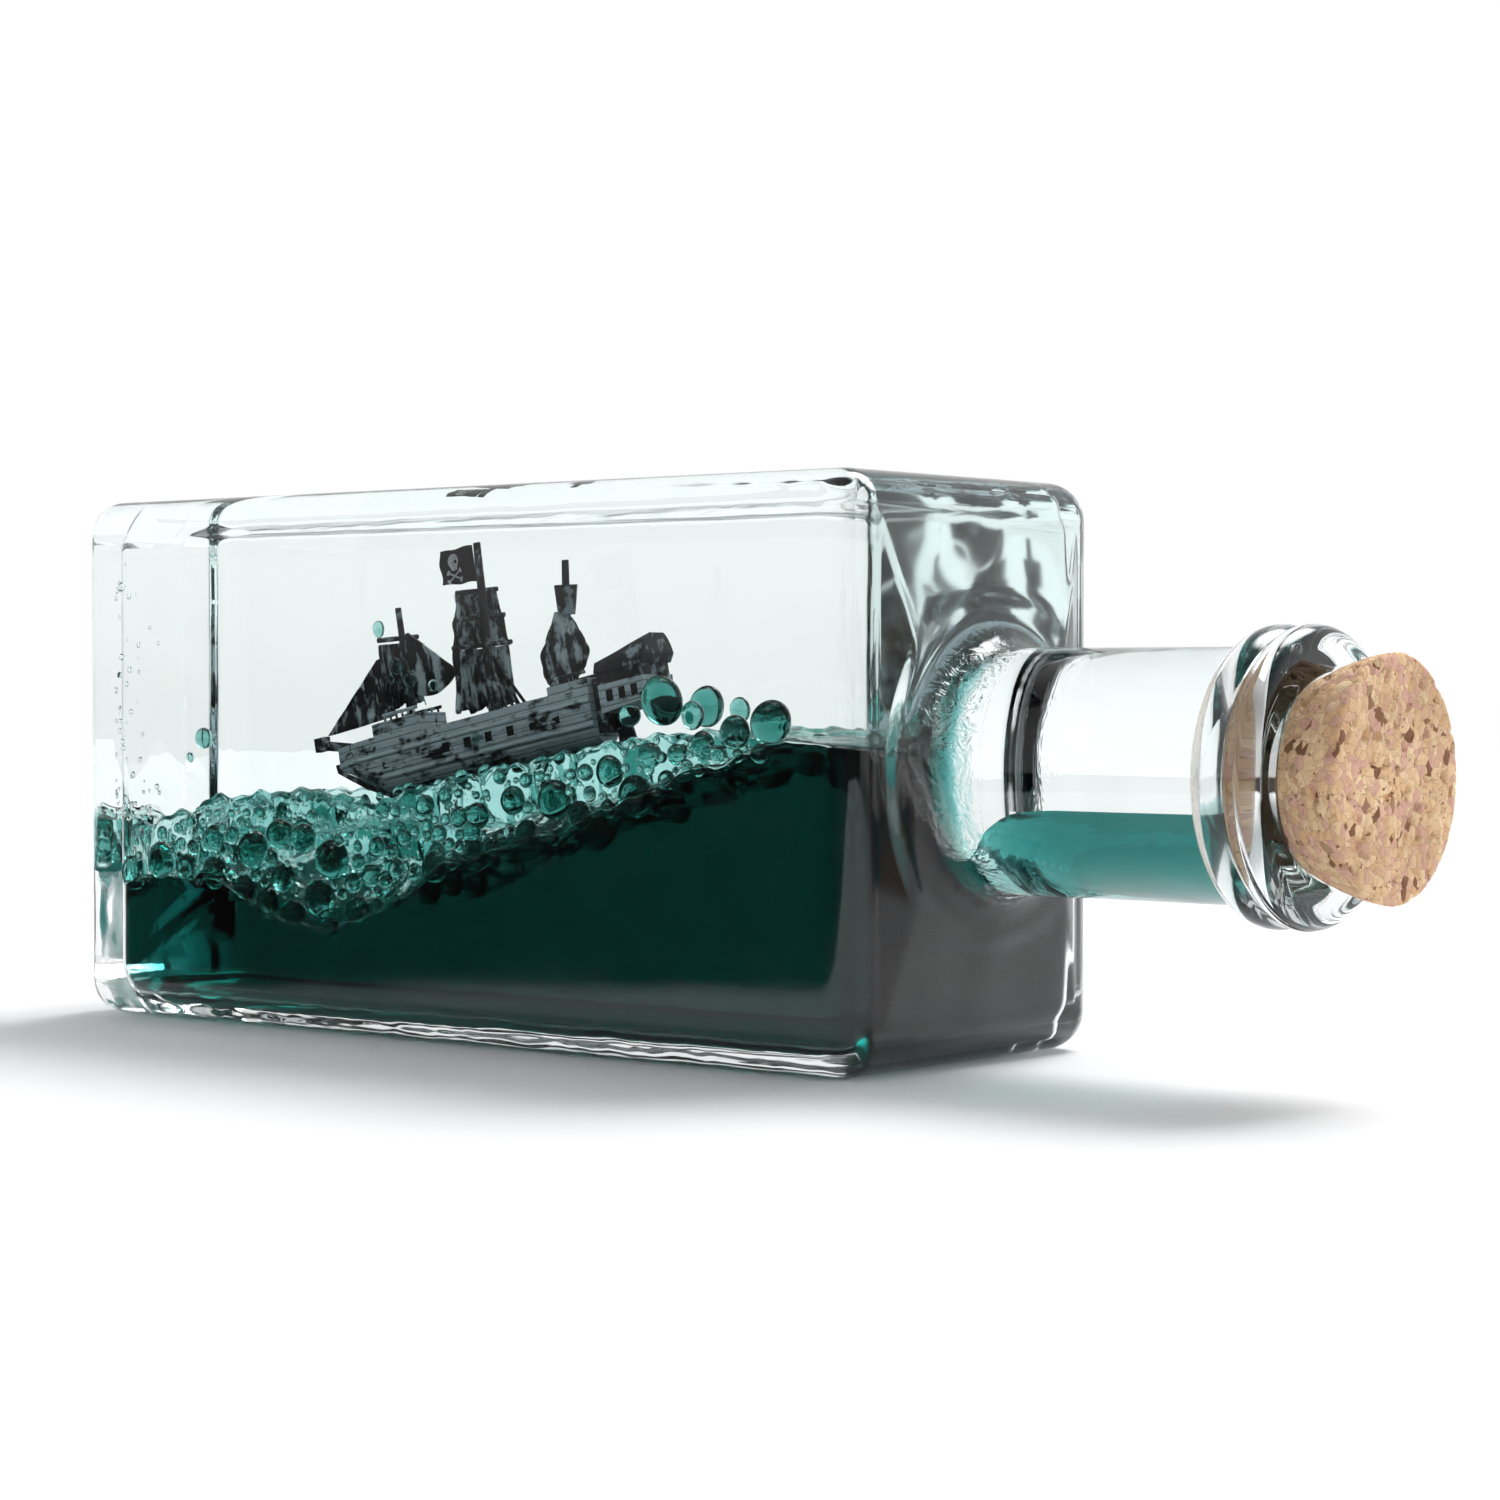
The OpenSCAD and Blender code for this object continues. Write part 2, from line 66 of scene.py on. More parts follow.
def joint(name):
    joints = frame["record"]["behaviour"]["joints"]
    return next(j for j in joints if j["name"] == name)


BOTTLE_LO, BOTTLE_HI = box_mm("bottle")
CORK_LO, CORK_HI = box_mm("cork")
SEAL_LO = box_mm("inner_seal")[0]
BASE_X, MOUTH_X = BOTTLE_LO[0], BOTTLE_HI[0]
HALF_W, HALF_H = BOTTLE_HI[1], BOTTLE_HI[2] / 2
AXIS_Z = HALF_H

# The bottle's own sizes
NECK_LENGTH = 40.1
END_X = MOUTH_X - NECK_LENGTH
EDGE_R, CAVITY_R = 4.2, 3.0
WALL, BASE_T = 3.0, 5.0
NECK_R, BORE_R, BOSS_R = 12.4, 9.25, 16.5
SHOULDER_H, HIP = 1.5, 13.0
INNER_ROUND = 5.0
SHARP_R = 0.03                                    # corner radius of a flat face's outline
BEADS = [(35.0, 11.9, 2.6), (38.2, 12.6, 1.9)]    # along the neck, centre radius, section radius
FILL_GAP = 0.05                                   # between the glass and what it holds
IN_W, IN_H = HALF_W - WALL, HALF_H - WALL
IN_X0, IN_X1 = BASE_X + BASE_T, END_X - WALL

# The floor: how far under the glass, how far it reaches towards the near left, the length
# over which it fades there, its size elsewhere, and the near left's direction
FLOOR_GAP, FLOOR_EDGE, FLOOR_FADE, FLOOR_SIZE = 0.1, 115, 36, 1400
FLOOR_NEAR = (-0.62, -0.785)

# The camera: place in metres, tilt and turn in radians, lens in millimetres
CAMERA_AT, CAMERA_TILT, CAMERA_TURN, LENS = (0.23253, -0.28094, 0.03944), -0.0214, 0.6837, 81.4


# ---------- mesh helpers ----------

def piece(name, verts, faces, materials, smooth=True, face_slots=None):
    """A mesh object from points in millimetres."""
    mesh = bpy.data.meshes.new(name)
    mesh.from_pydata((np.asarray(verts, float) * MM).tolist(), [], faces)
    for m in materials:
        mesh.materials.append(m)
    mesh.polygons.foreach_set("use_smooth", [smooth] * len(mesh.polygons))
    if face_slots is not None:
        mesh.polygons.foreach_set("material_index", face_slots)
    mesh.validate()
    mesh.update()
    obj = bpy.data.objects.new(name, mesh)
    bpy.context.scene.collection.objects.link(obj)
    return obj


def ring_faces(rings, n, start=0):
    """Quads between successive rings of n points."""
    out = []
    for i in range(rings - 1):
        a, b = start + i * n, start + (i + 1) * n
        for j in range(n):
            k = (j + 1) % n
            out.append((a + j, a + k, b + k, b + j))
    return out


def tube_faces(rings):
    """Quads between successive rings, and a flat cap at each end."""
    n = len(rings[0])
    last = (len(rings) - 1) * n
    return ring_faces(len(rings), n) + [tuple(range(n))[::-1], tuple(last + i for i in range(n))]


def turn_outwards(obj):
    bm = bmesh.new()
    bm.from_mesh(obj.data)
    bmesh.ops.recalc_face_normals(bm, faces=bm.faces)
    bm.to_mesh(obj.data)
    bm.free()


def tube(name, rings, mat):
    """A closed body through rings of points in millimetres."""
    obj = piece(name, np.concatenate(rings), tube_faces(rings), [mat])
    turn_outwards(obj)
    return obj


def smoothstep(a, b, x):
    t = np.clip((np.asarray(x, float) - a) / (b - a), 0, 1)
    return t * t * (3 - 2 * t)


def curve(points, x):
    """A smooth curve through [x, value] points (monotone between neighbours)."""
    xs, ys = np.array(points, float).T
    d = np.diff(ys) / np.diff(xs)
    m = np.concatenate([[d[0]], np.where(d[1:] * d[:-1] > 0, 2 * d[1:] * d[:-1]
                                         / (d[1:] + d[:-1] + 1e-12), 0), [d[-1]]])
    x = np.clip(np.asarray(x, float), xs[0], xs[-1])
    i = np.clip(np.searchsorted(xs, x) - 1, 0, len(xs) - 2)
    h = xs[i + 1] - xs[i]
    t = (x - xs[i]) / h
    return ((1 + 2 * t) * (1 - t) ** 2 * ys[i] + t * (1 - t) ** 2 * h * m[i]
            + t * t * (3 - 2 * t) * ys[i + 1] + t * t * (t - 1) * h * m[i + 1])


# ---------- node helpers ----------

class Nodes:
    """Short names for building a node tree."""

    def __init__(self, tree):
        self.tree = tree
        tree.nodes.clear()

    def add(self, kind, inputs=None, **settings):
        node = self.tree.nodes.new(kind)
        for key, value in settings.items():
            setattr(node, key, value)
        for key, value in (inputs or {}).items():
            if isinstance(value, bpy.types.NodeSocket):
                self.tree.links.new(value, node.inputs[key])
            else:
                node.inputs[key].default_value = value
        return node

    def math(self, op, a, b=0.0, clamp=False):
        return self.add("ShaderNodeMath", {0: a, 1: b}, operation=op,
                        use_clamp=clamp).outputs[0]

    def ramp(self, x, low, high, to_low=0.0, to_high=1.0):
        """Smooth step from to_low to to_high as x goes from low to high."""
        return self.add("ShaderNodeMapRange", {"Value": x, "From Min": low, "From Max": high,
                        "To Min": to_low, "To Max": to_high},
                        interpolation_type="SMOOTHSTEP").outputs["Result"]

    def mix(self, factor, a, b):
        node = self.add("ShaderNodeMix", data_type="RGBA")
        for key, value in (("Factor_Float", factor), ("A_Color", a), ("B_Color", b)):
            socket = next(s for s in node.inputs if s.identifier == key)
            if isinstance(value, bpy.types.NodeSocket):
                self.tree.links.new(value, socket)
            else:
                socket.default_value = value if key == "Factor_Float" else (*value, 1.0)[:4]
        return next(s for s in node.outputs if s.identifier == "Result_Color")

    def noise(self, vector, scale, detail=3.0, rough=0.5, distort=0.0):
        return self.add("ShaderNodeTexNoise", {"Vector": vector, "Scale": scale,
                        "Detail": detail, "Roughness": rough,
                        "Distortion": distort}).outputs["Fac"]

    def coords(self, scale=(1, 1, 1), rotation=(0, 0, 0)):
        base = self.add("ShaderNodeTexCoord").outputs["Object"]
        return self.add("ShaderNodeMapping", {"Vector": base, "Scale": scale,
                        "Rotation": rotation}).outputs["Vector"]

    def bump(self, height, strength, distance, normal=None):
        inputs = {"Height": height, "Strength": strength, "Distance": distance}
        if normal is not None:
            inputs["Normal"] = normal
        return self.add("ShaderNodeBump", inputs).outputs["Normal"]


def material(name):
    m = bpy.data.materials.new(name)
    m.use_nodes = True
    return m, Nodes(m.node_tree)


def surface(nodes, inputs, volume=None):
    """A Principled shader to the output, with an optional absorbing inside."""
    shader = nodes.add("ShaderNodeBsdfPrincipled", inputs)
    out = nodes.add("ShaderNodeOutputMaterial", {"Surface": shader.outputs[0]})
    if volume:
        colour, density = volume
        inside = nodes.add("ShaderNodeVolumeAbsorption", {"Color": (*colour, 1),
                           "Density": density})
        nodes.tree.links.new(inside.outputs[0], out.inputs["Volume"])
    return shader


def clear_material(name, colour, index, rough, bump, volume=None):
    """Clear matter, with bump as its noise's scale and detail, then strength and distance."""
    m, n = material(name)
    scale, detail, strength, distance = bump
    height = n.noise(n.coords(), scale, detail)
    surface(n, {"Base Color": (*colour, 1), "Roughness": rough, "IOR": index,
                "Transmission Weight": 1.0, "Normal": n.bump(height, strength, distance)}, volume)
    return m


# ---------- camera, floor and light ----------

def make_camera():
    data = bpy.data.cameras.new("camera")
    data.lens, data.sensor_width = LENS, 36
    data.clip_start, data.clip_end = 0.01, 50
    cam = bpy.data.objects.new("camera", data)
    cam.location = CAMERA_AT
    cam.rotation_euler = (math.pi / 2 + CAMERA_TILT, 0, CAMERA_TURN)
    bpy.context.scene.collection.objects.link(cam)
    bpy.context.scene.camera = cam


def make_floor():
    """A plain pale sheet that fades into the room beyond the frame's near left."""
    m, n = material("floor_paint")
    at = n.coords()
    grain = n.noise(at, 900, 2)
    out = n.add("ShaderNodeVectorMath", {0: at, 1: (*FLOOR_NEAR, 0)},
                operation="DOT_PRODUCT").outputs["Value"]
    fade = n.ramp(out, FLOOR_EDGE * MM, (FLOOR_EDGE - FLOOR_FADE) * MM)
    surface(n, {"Base Color": n.mix(grain, (0.87, 0.88, 0.90), (0.91, 0.915, 0.93)),
                "Roughness": 0.75, "Alpha": fade, "Normal": n.bump(grain, 0.05, 0.0002)})
    (c, s), size = FLOOR_NEAR, FLOOR_SIZE
    verts = [(c * u - s * v, s * u + c * v, -FLOOR_GAP)
             for u, v in ((-size, -size), (FLOOR_EDGE, -size), (FLOOR_EDGE, size), (-size, size))]
    piece("floor", verts, [(0, 1, 2, 3)], [m], smooth=False)


def make_world():
    """A white sweep and a soft lamp behind, and a grey room in front, dark below the horizon."""
    world = bpy.data.worlds.new("studio")
    world.use_nodes = True
    bpy.context.scene.world = world
    n = Nodes(world.node_tree)
    d = n.add("ShaderNodeTexCoord").outputs["Generated"]

    def towards(x, y, z):
        v = Vector((x, y, z)).normalized()
        return n.add("ShaderNodeVectorMath", {0: d, 1: v}, operation="DOT_PRODUCT").outputs["Value"]

    behind = n.ramp(towards(-0.1, 1, 0), -0.15, 0.3)
    up = towards(0, 0, 1)
    front = n.ramp(up, -0.012, 0.03, 0.03, 0.62)
    back = n.math("ADD", n.math("MULTIPLY", behind, 1.01),
                  n.math("MULTIPLY", n.math("SUBTRACT", 1.0, behind), front))
    top = n.ramp(up, 0.45, 0.95, 1.0, 0.5)
    key = n.ramp(towards(0.0, 0.56, 0.83), math.cos(math.radians(20)),
                 math.cos(math.radians(5)), 0.0, 13.0)
    sweep = n.math("MULTIPLY", back, top)
    light = n.add("ShaderNodeBackground", {"Color": (1, 1, 1, 1),
                  "Strength": n.math("ADD", sweep, key)})
    n.add("ShaderNodeOutputWorld", {"Surface": light.outputs[0]})


def set_look():
    scene = bpy.context.scene
    scene.view_settings.view_transform = "Standard"
    scene.cycles.max_bounces = 28
    scene.cycles.transmission_bounces = 28
    scene.cycles.glossy_bounces = 8
    scene.cycles.diffuse_bounces = 4
    scene.cycles.sample_clamp_indirect = 6.0


# ---------- glass ----------

def glass_bump(n, at):
    """Slight waves, a softer pressed end, and the chill marks round the root of the neck."""
    wave = n.bump(n.noise(at, 60, 1), 0.06, 0.002)
    x = n.add("ShaderNodeSeparateXYZ", {0: n.add("ShaderNodeTexCoord").outputs["Object"]})
    root = n.math("MULTIPLY", n.ramp(x.outputs[0], (END_X + 1.6) * MM, (END_X + 2.6) * MM),
                  n.ramp(x.outputs[0], (END_X + 8.5) * MM, (END_X + 6) * MM))
    marks = n.math("MULTIPLY", n.noise(at, 420, 3, 0.6, 1.2), root)
    end = n.math("MULTIPLY", n.ramp(x.outputs[0], (END_X - 1) * MM, END_X * MM),
                 n.ramp(x.outputs[0], (END_X + 3) * MM, (END_X + 1.6) * MM))
    pressed = n.bump(n.math("MULTIPLY", n.noise(at, 46, 1, 0.5, 0.8), end), 0.28, 0.003, wave)
    return n.bump(marks, 0.3, 0.0007, pressed), n.math("MULTIPLY", end, 0.1)


def outer_glass_material():
    m, n = material("clear_glass")
    at = n.coords()
    normal, rough = glass_bump(n, at)
    surface(n, {"Base Color": (0.95, 0.972, 0.97, 1), "Roughness": rough, "IOR": 1.5,
                "Transmission Weight": 1.0, "Normal": normal})
    return m


def inner_glass_material(name, index):
    """A wetted face of the glass, whose index is that of the glass over the liquid's."""
    return clear_material(name, (0.985, 0.995, 0.99), index, 0.0, (90, 2, 0.2, 0.002))


def rect_loop(a, b, r):
    """A rounded rectangle of half sizes a and b, the same number of points at any size."""
    up = np.concatenate([np.linspace(0, 0.97, 20), [0.99]])
    across = np.concatenate([np.linspace(0, 0.97, 16), [0.99]])[::-1]
    q = [(a, f * (b - r)) for f in up]
    q += [(a - r + r * math.cos(t), b - r + r * math.sin(t))
          for t in np.linspace(0, math.pi / 2, 11)]
    q += [(f * (a - r), b) for f in across]
    q = np.array(q)
    rev = q[::-1]
    return np.concatenate([q[:-1], (rev * [-1, 1])[:-1], (q * [-1, -1])[:-1],
                           (rev * [1, -1])[:-1]])


# The direction of each point of a rounded rectangle, so that circles share its points
CIRCLE = np.arctan2(*rect_loop(HALF_W, HALF_H, EDGE_R).T[::-1])


def circle_loop(r):
    return np.stack([r * np.cos(CIRCLE), r * np.sin(CIRCLE)], -1)


def ring(x, loop):
    return np.column_stack([np.broadcast_to(x, len(loop)), loop[:, 0], loop[:, 1] + AXIS_Z])


def box_rings(x0, x1, a, b, r, cap):
    """Rings of a rounded box from x0 to x1, with a flat cap at x0 whose rings stand in by cap."""
    arc = np.radians([3, 12, 24, 36, 48, 60, 72, 82, 90])

    def edge(x, side):
        return [ring(x + side * r * (1 - math.cos(t)),
                     rect_loop(a - r + r * math.sin(t), b - r + r * math.sin(t),
                               max(r * math.sin(t), SHARP_R))) for t in arc]

    rings = [ring(x0, rect_loop(a - r - c, b - r - c, SHARP_R)) for c in cap]
    rings += edge(x0, 1)
    rings += [ring(x, rect_loop(a, b, r)) for x in
              np.concatenate([[x0 + r + 0.4], np.linspace(x0 + r + 3, x1 - r - 3, 22),
                              [x1 - r - 0.4]])]
    return rings + edge(x1, -1)[::-1]


def hip_height(y, z):
    """Height of the shoulder's four shallow faces over the end of the body."""
    u = (HALF_W - EDGE_R - abs(y)) / (HALF_W - EDGE_R - HIP)
    v = (HALF_H - EDGE_R - abs(z)) / (HALF_H - EDGE_R - HIP)
    soft = 0.06
    low = -soft * np.log(np.exp(-u / soft) + np.exp(-v / soft) + math.exp(-1 / soft))
    return SHOULDER_H * np.clip(low, 0, 1)


def shoulder_rings():
    outer = rect_loop(HALF_W - EDGE_R, HALF_H - EDGE_R, SHARP_R)
    inner = circle_loop(BOSS_R)
    rings = []
    for f in np.linspace(0.02, 1, 22):
        loop = outer * (1 - f) + inner * f
        x = hip_height(loop[:, 0], loop[:, 1])
        x = x + (SHOULDER_H - x) * smoothstep(0.75, 1.0, f)
        rings.append(ring(END_X + x, loop))
    return rings


def lip_profile():
    """Radius of the neck and its two beads at each distance from the body."""
    t = np.concatenate([np.linspace(6.0, 31.5, 16), np.arange(32.0, 38.2, 0.2)])
    rho = np.full(len(t), NECK_R)
    for c, centre, r in BEADS:
        h = np.clip(r * r - (t - c) ** 2, 0, None)
        rho = np.maximum(rho, np.where(h > 0, centre + np.sqrt(h), 0))
    out = list(zip(t, rho))
    c, centre, r = BEADS[1]
    reach = NECK_LENGTH - c
    out += [(c + reach * math.sin(a), centre + r * math.cos(a))
            for a in np.radians([0, 15, 30, 45, 60, 75, 90])]
    return out


def neck_rings():
    """The boss, the neck with its beads, the mouth's flat rim and its eased inner edge."""
    fillet = BOSS_R - NECK_R
    prof = [(SHOULDER_H + fillet * (1 - math.cos(a)), BOSS_R - fillet * math.sin(a))
            for a in np.radians([10, 20, 30, 40, 50, 60, 70, 80, 90])]
    prof += lip_profile()
    t_end = NECK_LENGTH
    prof += [(t_end, r) for r in (12.3, 11.4, 10.6)]
    prof += [(t_end - 1 + math.cos(a), BORE_R + 1 - math.sin(a))
             for a in np.radians([15, 35, 55, 75, 90])]
    return [ring(END_X + t, circle_loop(r)) for t, r in prof]


def bore_rings():
    """The bore, and the round that opens it into the body."""
    xs = np.linspace(MOUTH_X - 2, IN_X1 + INNER_ROUND + 0.6, 24)
    rings = [ring(x, circle_loop(BORE_R)) for x in xs]
    for a in np.radians([0, 9, 18, 27, 36, 45, 54, 63, 72, 81, 88]):
        rings.append(ring(IN_X1 + INNER_ROUND * (1 - math.sin(a)),
                          circle_loop(BORE_R + INNER_ROUND * (1 - math.cos(a)))))
    return rings


def end_wall_rings():
    inner = circle_loop(BORE_R + INNER_ROUND)
    outer = rect_loop(IN_W - CAVITY_R, IN_H - CAVITY_R, SHARP_R)
    return [ring(IN_X1, inner * (1 - f) + outer * f) for f in (0.1, 0.4, 0.8, 0.97)]


def make_bottle():
    """One closed glass body, whose faces take a slot for what touches them."""
    rings = box_rings(BASE_X, END_X, HALF_W, HALF_H, EDGE_R, (12, 0.6))
    rings += shoulder_rings() + neck_rings()
    bore = bore_rings()
    wet_from = len(rings) + next(i for i, r in enumerate(bore) if r[0, 0] < SEAL_LO[0])
    rings += bore + end_wall_rings()
    rings += box_rings(IN_X0, IN_X1, IN_W, IN_H, CAVITY_R, (10, 0.5))[::-1]
    n = len(rings[0])
    faces = tube_faces(rings)
    slots = [0 if i < wet_from * n else 1 for i in range(len(faces) - 2)] + [0, 1]
    pts = np.concatenate(rings)
    for i, f in enumerate(faces):
        if slots[i] == 1:
            mid = pts[list(f)].mean(0)
            if mid[2] < wetted_z(mid[0], mid[1]):
                slots[i] = 2
    glass = [outer_glass_material(), inner_glass_material("glass_to_oil", 1.04),
             inner_glass_material("glass_to_water", 1.14)]
    obj = piece("bottle_glass", pts, faces, glass, face_slots=slots)
    turn_outwards(obj)
    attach(obj, "bottle")
    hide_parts("bottle")


# ---------- liquids ----------

# The water's line on the front wall, how far it stands above that under the ship, and
# its line along the neck
FRONT_LINE = [(-77, 15), (-63, 16), (-53, 13.7), (-45, 10.8), (-37, 11.7), (-22, 18.8),
              (-6, 23), (5, 27), (15, 30.3), (26, 32.7), (31, 32.4)]
SWELL = [(-77, 1.5), (-66, 3), (-56, 5), (-46, 8), (-36, 7.5), (-26, 5), (-8, 4), (5, 2.6),
         (15, 1.2), (26, 0.4), (31, 0)]
NECK_LINE = [(31, 24.2), (34.5, 22.4), (37, 22.6), (41, 25.2), (45, 26.7), (50, 27), (70, 27)]
# The top of the foam: against the glass, and under the ship
FOAM_TOP = [(-77, 21), (-68, 22.6), (-60, 25.2), (-52, 25.6), (-46, 26), (-38, 24.5),
            (-26, 27), (-14, 29), (-6, 30.5), (5, 32.2), (15, 33.2), (24, 33.6), (31, 33)]
FOAM_MID = [(-77, 22), (-60, 25.4), (-50, 26.6), (-41, 25.6), (-24, 28.9), (-8, 32.0),
            (0, 33.4), (12, 34.0), (24, 33.8), (31, 33)]
FOAM_SETBACK = 2.2                                # of the foam's body from the front wall
# The trough in the foam under the ship: its ends, its half width and its line
GAP_X0, GAP_X1, GAP_HALF_W = -58, 14, 5.9
GAP_LEVEL, GAP_RISE = 26.4, 0.105


def water_z(x, y):
    """Height of the water: low along the front wall, swollen in the middle."""
    v = np.clip(np.asarray(y, float) / IN_W, -1, 1)
    side = np.where(v < 0, 1 - np.abs(v) ** 2.4, 1 - 0.6 * np.abs(v) ** 2.4)
    ripple = (0.35 * np.sin(0.55 * x + 0.6 * y) + 0.25 * np.sin(0.9 * x - 0.8 * y + 2)
              + 0.15 * np.sin(1.7 * x + 1.3 * y + 1))
    calm = smoothstep(28, 20, x)
    body = curve(FRONT_LINE, x) + curve(SWELL, x) * side + ripple * calm * 0.8
    near = np.minimum(np.asarray(y, float), 0)
    spill = smoothstep(23, 31, x) * np.exp(-(near / 9.5) ** 2)
    return body + (NECK_LINE[0][1] - body) * spill


def wetted_z(x, y):
    """Height below which the glass touches water."""
    return float(water_z(x, y)) if x < IN_X1 else float(curve(NECK_LINE, x))


def foam_z(x, y):
    """Height of the foam, lumpy where bubbles have run together."""
    v = np.clip(np.abs(np.asarray(y, float)) / IN_W, 0, 1) ** 1.5
    lumps = (0.7 * np.abs(np.sin(0.42 * x + 0.3 * y)) + 0.45 * np.sin(0.95 * x - 0.5 * y + 1)
             + 0.3 * np.sin(1.9 * x + 1.1 * y)) - 0.3
    rough = lumps * smoothstep(24, 14, x) * (0.35 + 0.65 * v)
    return curve(FOAM_MID, x) * (1 - v) + curve(FOAM_TOP, x) * v + rough


def gap_level(x):
    """The trough's line, as in the CAD, climbing at the bow end. The foam under the ship
    stays below it, except where the water itself stands higher."""
    return GAP_LEVEL + GAP_RISE * x + 6 * smoothstep(GAP_X0 + 4, GAP_X0 - 2, x)


def stations():
    """Places along the cavity, and the radius of its round part where it has one."""
    g = FILL_GAP
    out = [(x, None) for x in np.concatenate([[IN_X0 + g], np.arange(IN_X0 + 1, IN_X1 - 0.6, 0.8),
                                              [IN_X1 - g]])]
    for a in np.radians([88, 78, 68, 58, 48, 38, 28, 18, 9, 0]):
        out.append((IN_X1 + INNER_ROUND * (1 - math.sin(a)),
                    BORE_R - g + INNER_ROUND * (1 - math.cos(a))))
    out += [(x, BORE_R - g) for x in np.linspace(IN_X1 + INNER_ROUND + 1, SEAL_LO[0] - g, 26)]
    return out


def corner_inset(x):
    """How far the cavity's rounded ends draw a section in."""
    d = min(x - IN_X0, IN_X1 - x)
    return 0 if d >= CAVITY_R else CAVITY_R - math.sqrt(CAVITY_R ** 2 - (CAVITY_R - d) ** 2)


def wall_path(x, radius, up, z_left, z_right):
    """The cavity's wall below (or above) the surface, from the left rim to the right."""
    if radius is not None:
        rim = [math.asin(np.clip((z - AXIS_Z) / radius, -1, 1)) for z in (z_left, z_right)]
        a0, a1 = math.pi - rim[0], rim[1] + (0 if up else math.tau)
        t = np.linspace(a0, a1, 62)
        return np.stack([radius * np.cos(t), AXIS_Z + radius * np.sin(t)], -1)
    inset = corner_inset(x)
    a, h = IN_W - FILL_GAP - inset, IN_H - FILL_GAP - inset
    r = max(CAVITY_R - inset, 0.1)
    s = 1 if up else -1
    z_end, z_turn = AXIS_Z + s * h, AXIS_Z + s * (h - r)
    arc = np.linspace(0, math.pi / 2, 8)
    path = [(-a, z) for z in np.linspace(z_left, z_turn, 14)[:-1]]
    path += [(-a + r - r * math.cos(t), z_turn + s * r * math.sin(t)) for t in arc]
    path += [(y, z_end) for y in np.linspace(-a + r, a - r, 22)[1:-1]]
    path += [(a - r + r * math.sin(t), z_turn + s * r * math.cos(t)) for t in arc]
    path += [(a, z) for z in np.linspace(z_turn, z_right, 14)[1:]]
    return np.array(path)


def surface_path(x, radius, lift):
    """The water's surface across one section, with the curl where it meets the glass."""
    if radius is None:
        half = IN_W - FILL_GAP - corner_inset(x)
    else:
        level = float(curve(NECK_LINE, x))
        half = math.sqrt(max(radius ** 2 - (level - AXIS_Z) ** 2, 1))
    y = half * np.sin(np.linspace(-math.pi / 2, math.pi / 2, 56))
    z = water_z(x, y) if radius is None else np.full(len(y), level)
    curl = 0.5 * np.exp(-(half - np.abs(y)) / 0.45)
    return np.stack([y, z + curl * (radius is None) + lift], -1)


def liquid(name, up, lift, mat):
    """What lies below (or above) the water's surface, out to the wall of the cavity."""
    rings = []
    for x, radius in stations():
        top = surface_path(x, radius, lift)
        wall = wall_path(x, radius, up, top[0, 1], top[-1, 1])
        if radius is not None:
            wall[0], wall[-1] = top[0], top[-1]
        loop = np.concatenate([wall, top[::-1][1:-1]])
        rings.append(np.column_stack([np.full(len(loop), x), loop]))
    return tube(name, rings, mat)


def dyed_water_material():
    return clear_material("dyed_water", (0.99, 1, 1), 1.09, 0.0, (260, 2, 0.12, 0.001),
                          ((0.02, 0.585, 0.565), 235.0))


def oil_material():
    return clear_material("clear_oil", (1, 1, 1), 1.0, 0.0, (40, 1, 0.02, 0.001),
                          ((0.62, 0.88, 0.86), 4.5))


def foam_body(mat):
    """The emulsion between the water and the oil: thin enough to let light through."""
    xs = np.concatenate([[IN_X0 + 0.1], np.arange(IN_X0 + 0.5, 26, 0.45)])
    rings = []
    for x in xs:
        half = IN_W - 0.09 - corner_inset(x)
        y = half * np.sin(np.linspace(-math.pi / 2, math.pi / 2, 64))
        y = y * (1 - FOAM_SETBACK / half / 2) + FOAM_SETBACK / 2
        under = water_z(x, y) + 0.05
        fade = smoothstep(26.5, 16, x)
        over = under + 0.1 + np.maximum(foam_z(x, y) - under, 0.3) * fade
        if GAP_X0 - 2 < x < GAP_X1:
            low = np.maximum(np.minimum(over, gap_level(x)), under + 0.12)
            over = np.where(np.abs(y) < GAP_HALF_W, low, over)
        loop = np.concatenate([np.stack([y, under], -1), np.stack([y, over], -1)[::-1]])
        rings.append(np.column_stack([np.full(len(loop), x), loop]))
    return tube("foam_body", rings, mat)


def emulsion_material():
    m, n = material("emulsion")
    at = n.coords()
    lumps = n.bump(n.noise(at, 300, 3), 0.3, 0.0012)
    cells = n.add("ShaderNodeTexVoronoi", {"Vector": at, "Scale": 620.0},
                  feature="SMOOTH_F1").outputs["Distance"]
    surface(n, {"Base Color": (0.96, 1, 0.995, 1), "Roughness": 0.1, "IOR": 1.05,
                "Transmission Weight": 1.0, "Normal": n.bump(cells, 0.2, 0.0008, lumps)},
            volume=((0.05, 0.60, 0.57), 34.0))
    return m


def make_liquids():
    water = liquid("dyed_water_body", False, 0.0, dyed_water_material())
    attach(water, "bottle")
    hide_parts("dyed_water")
    oil = liquid("oil_body", True, 0.04, oil_material())
    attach(oil, "bottle")
    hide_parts("clear_oil")


# ---------- foam ----------

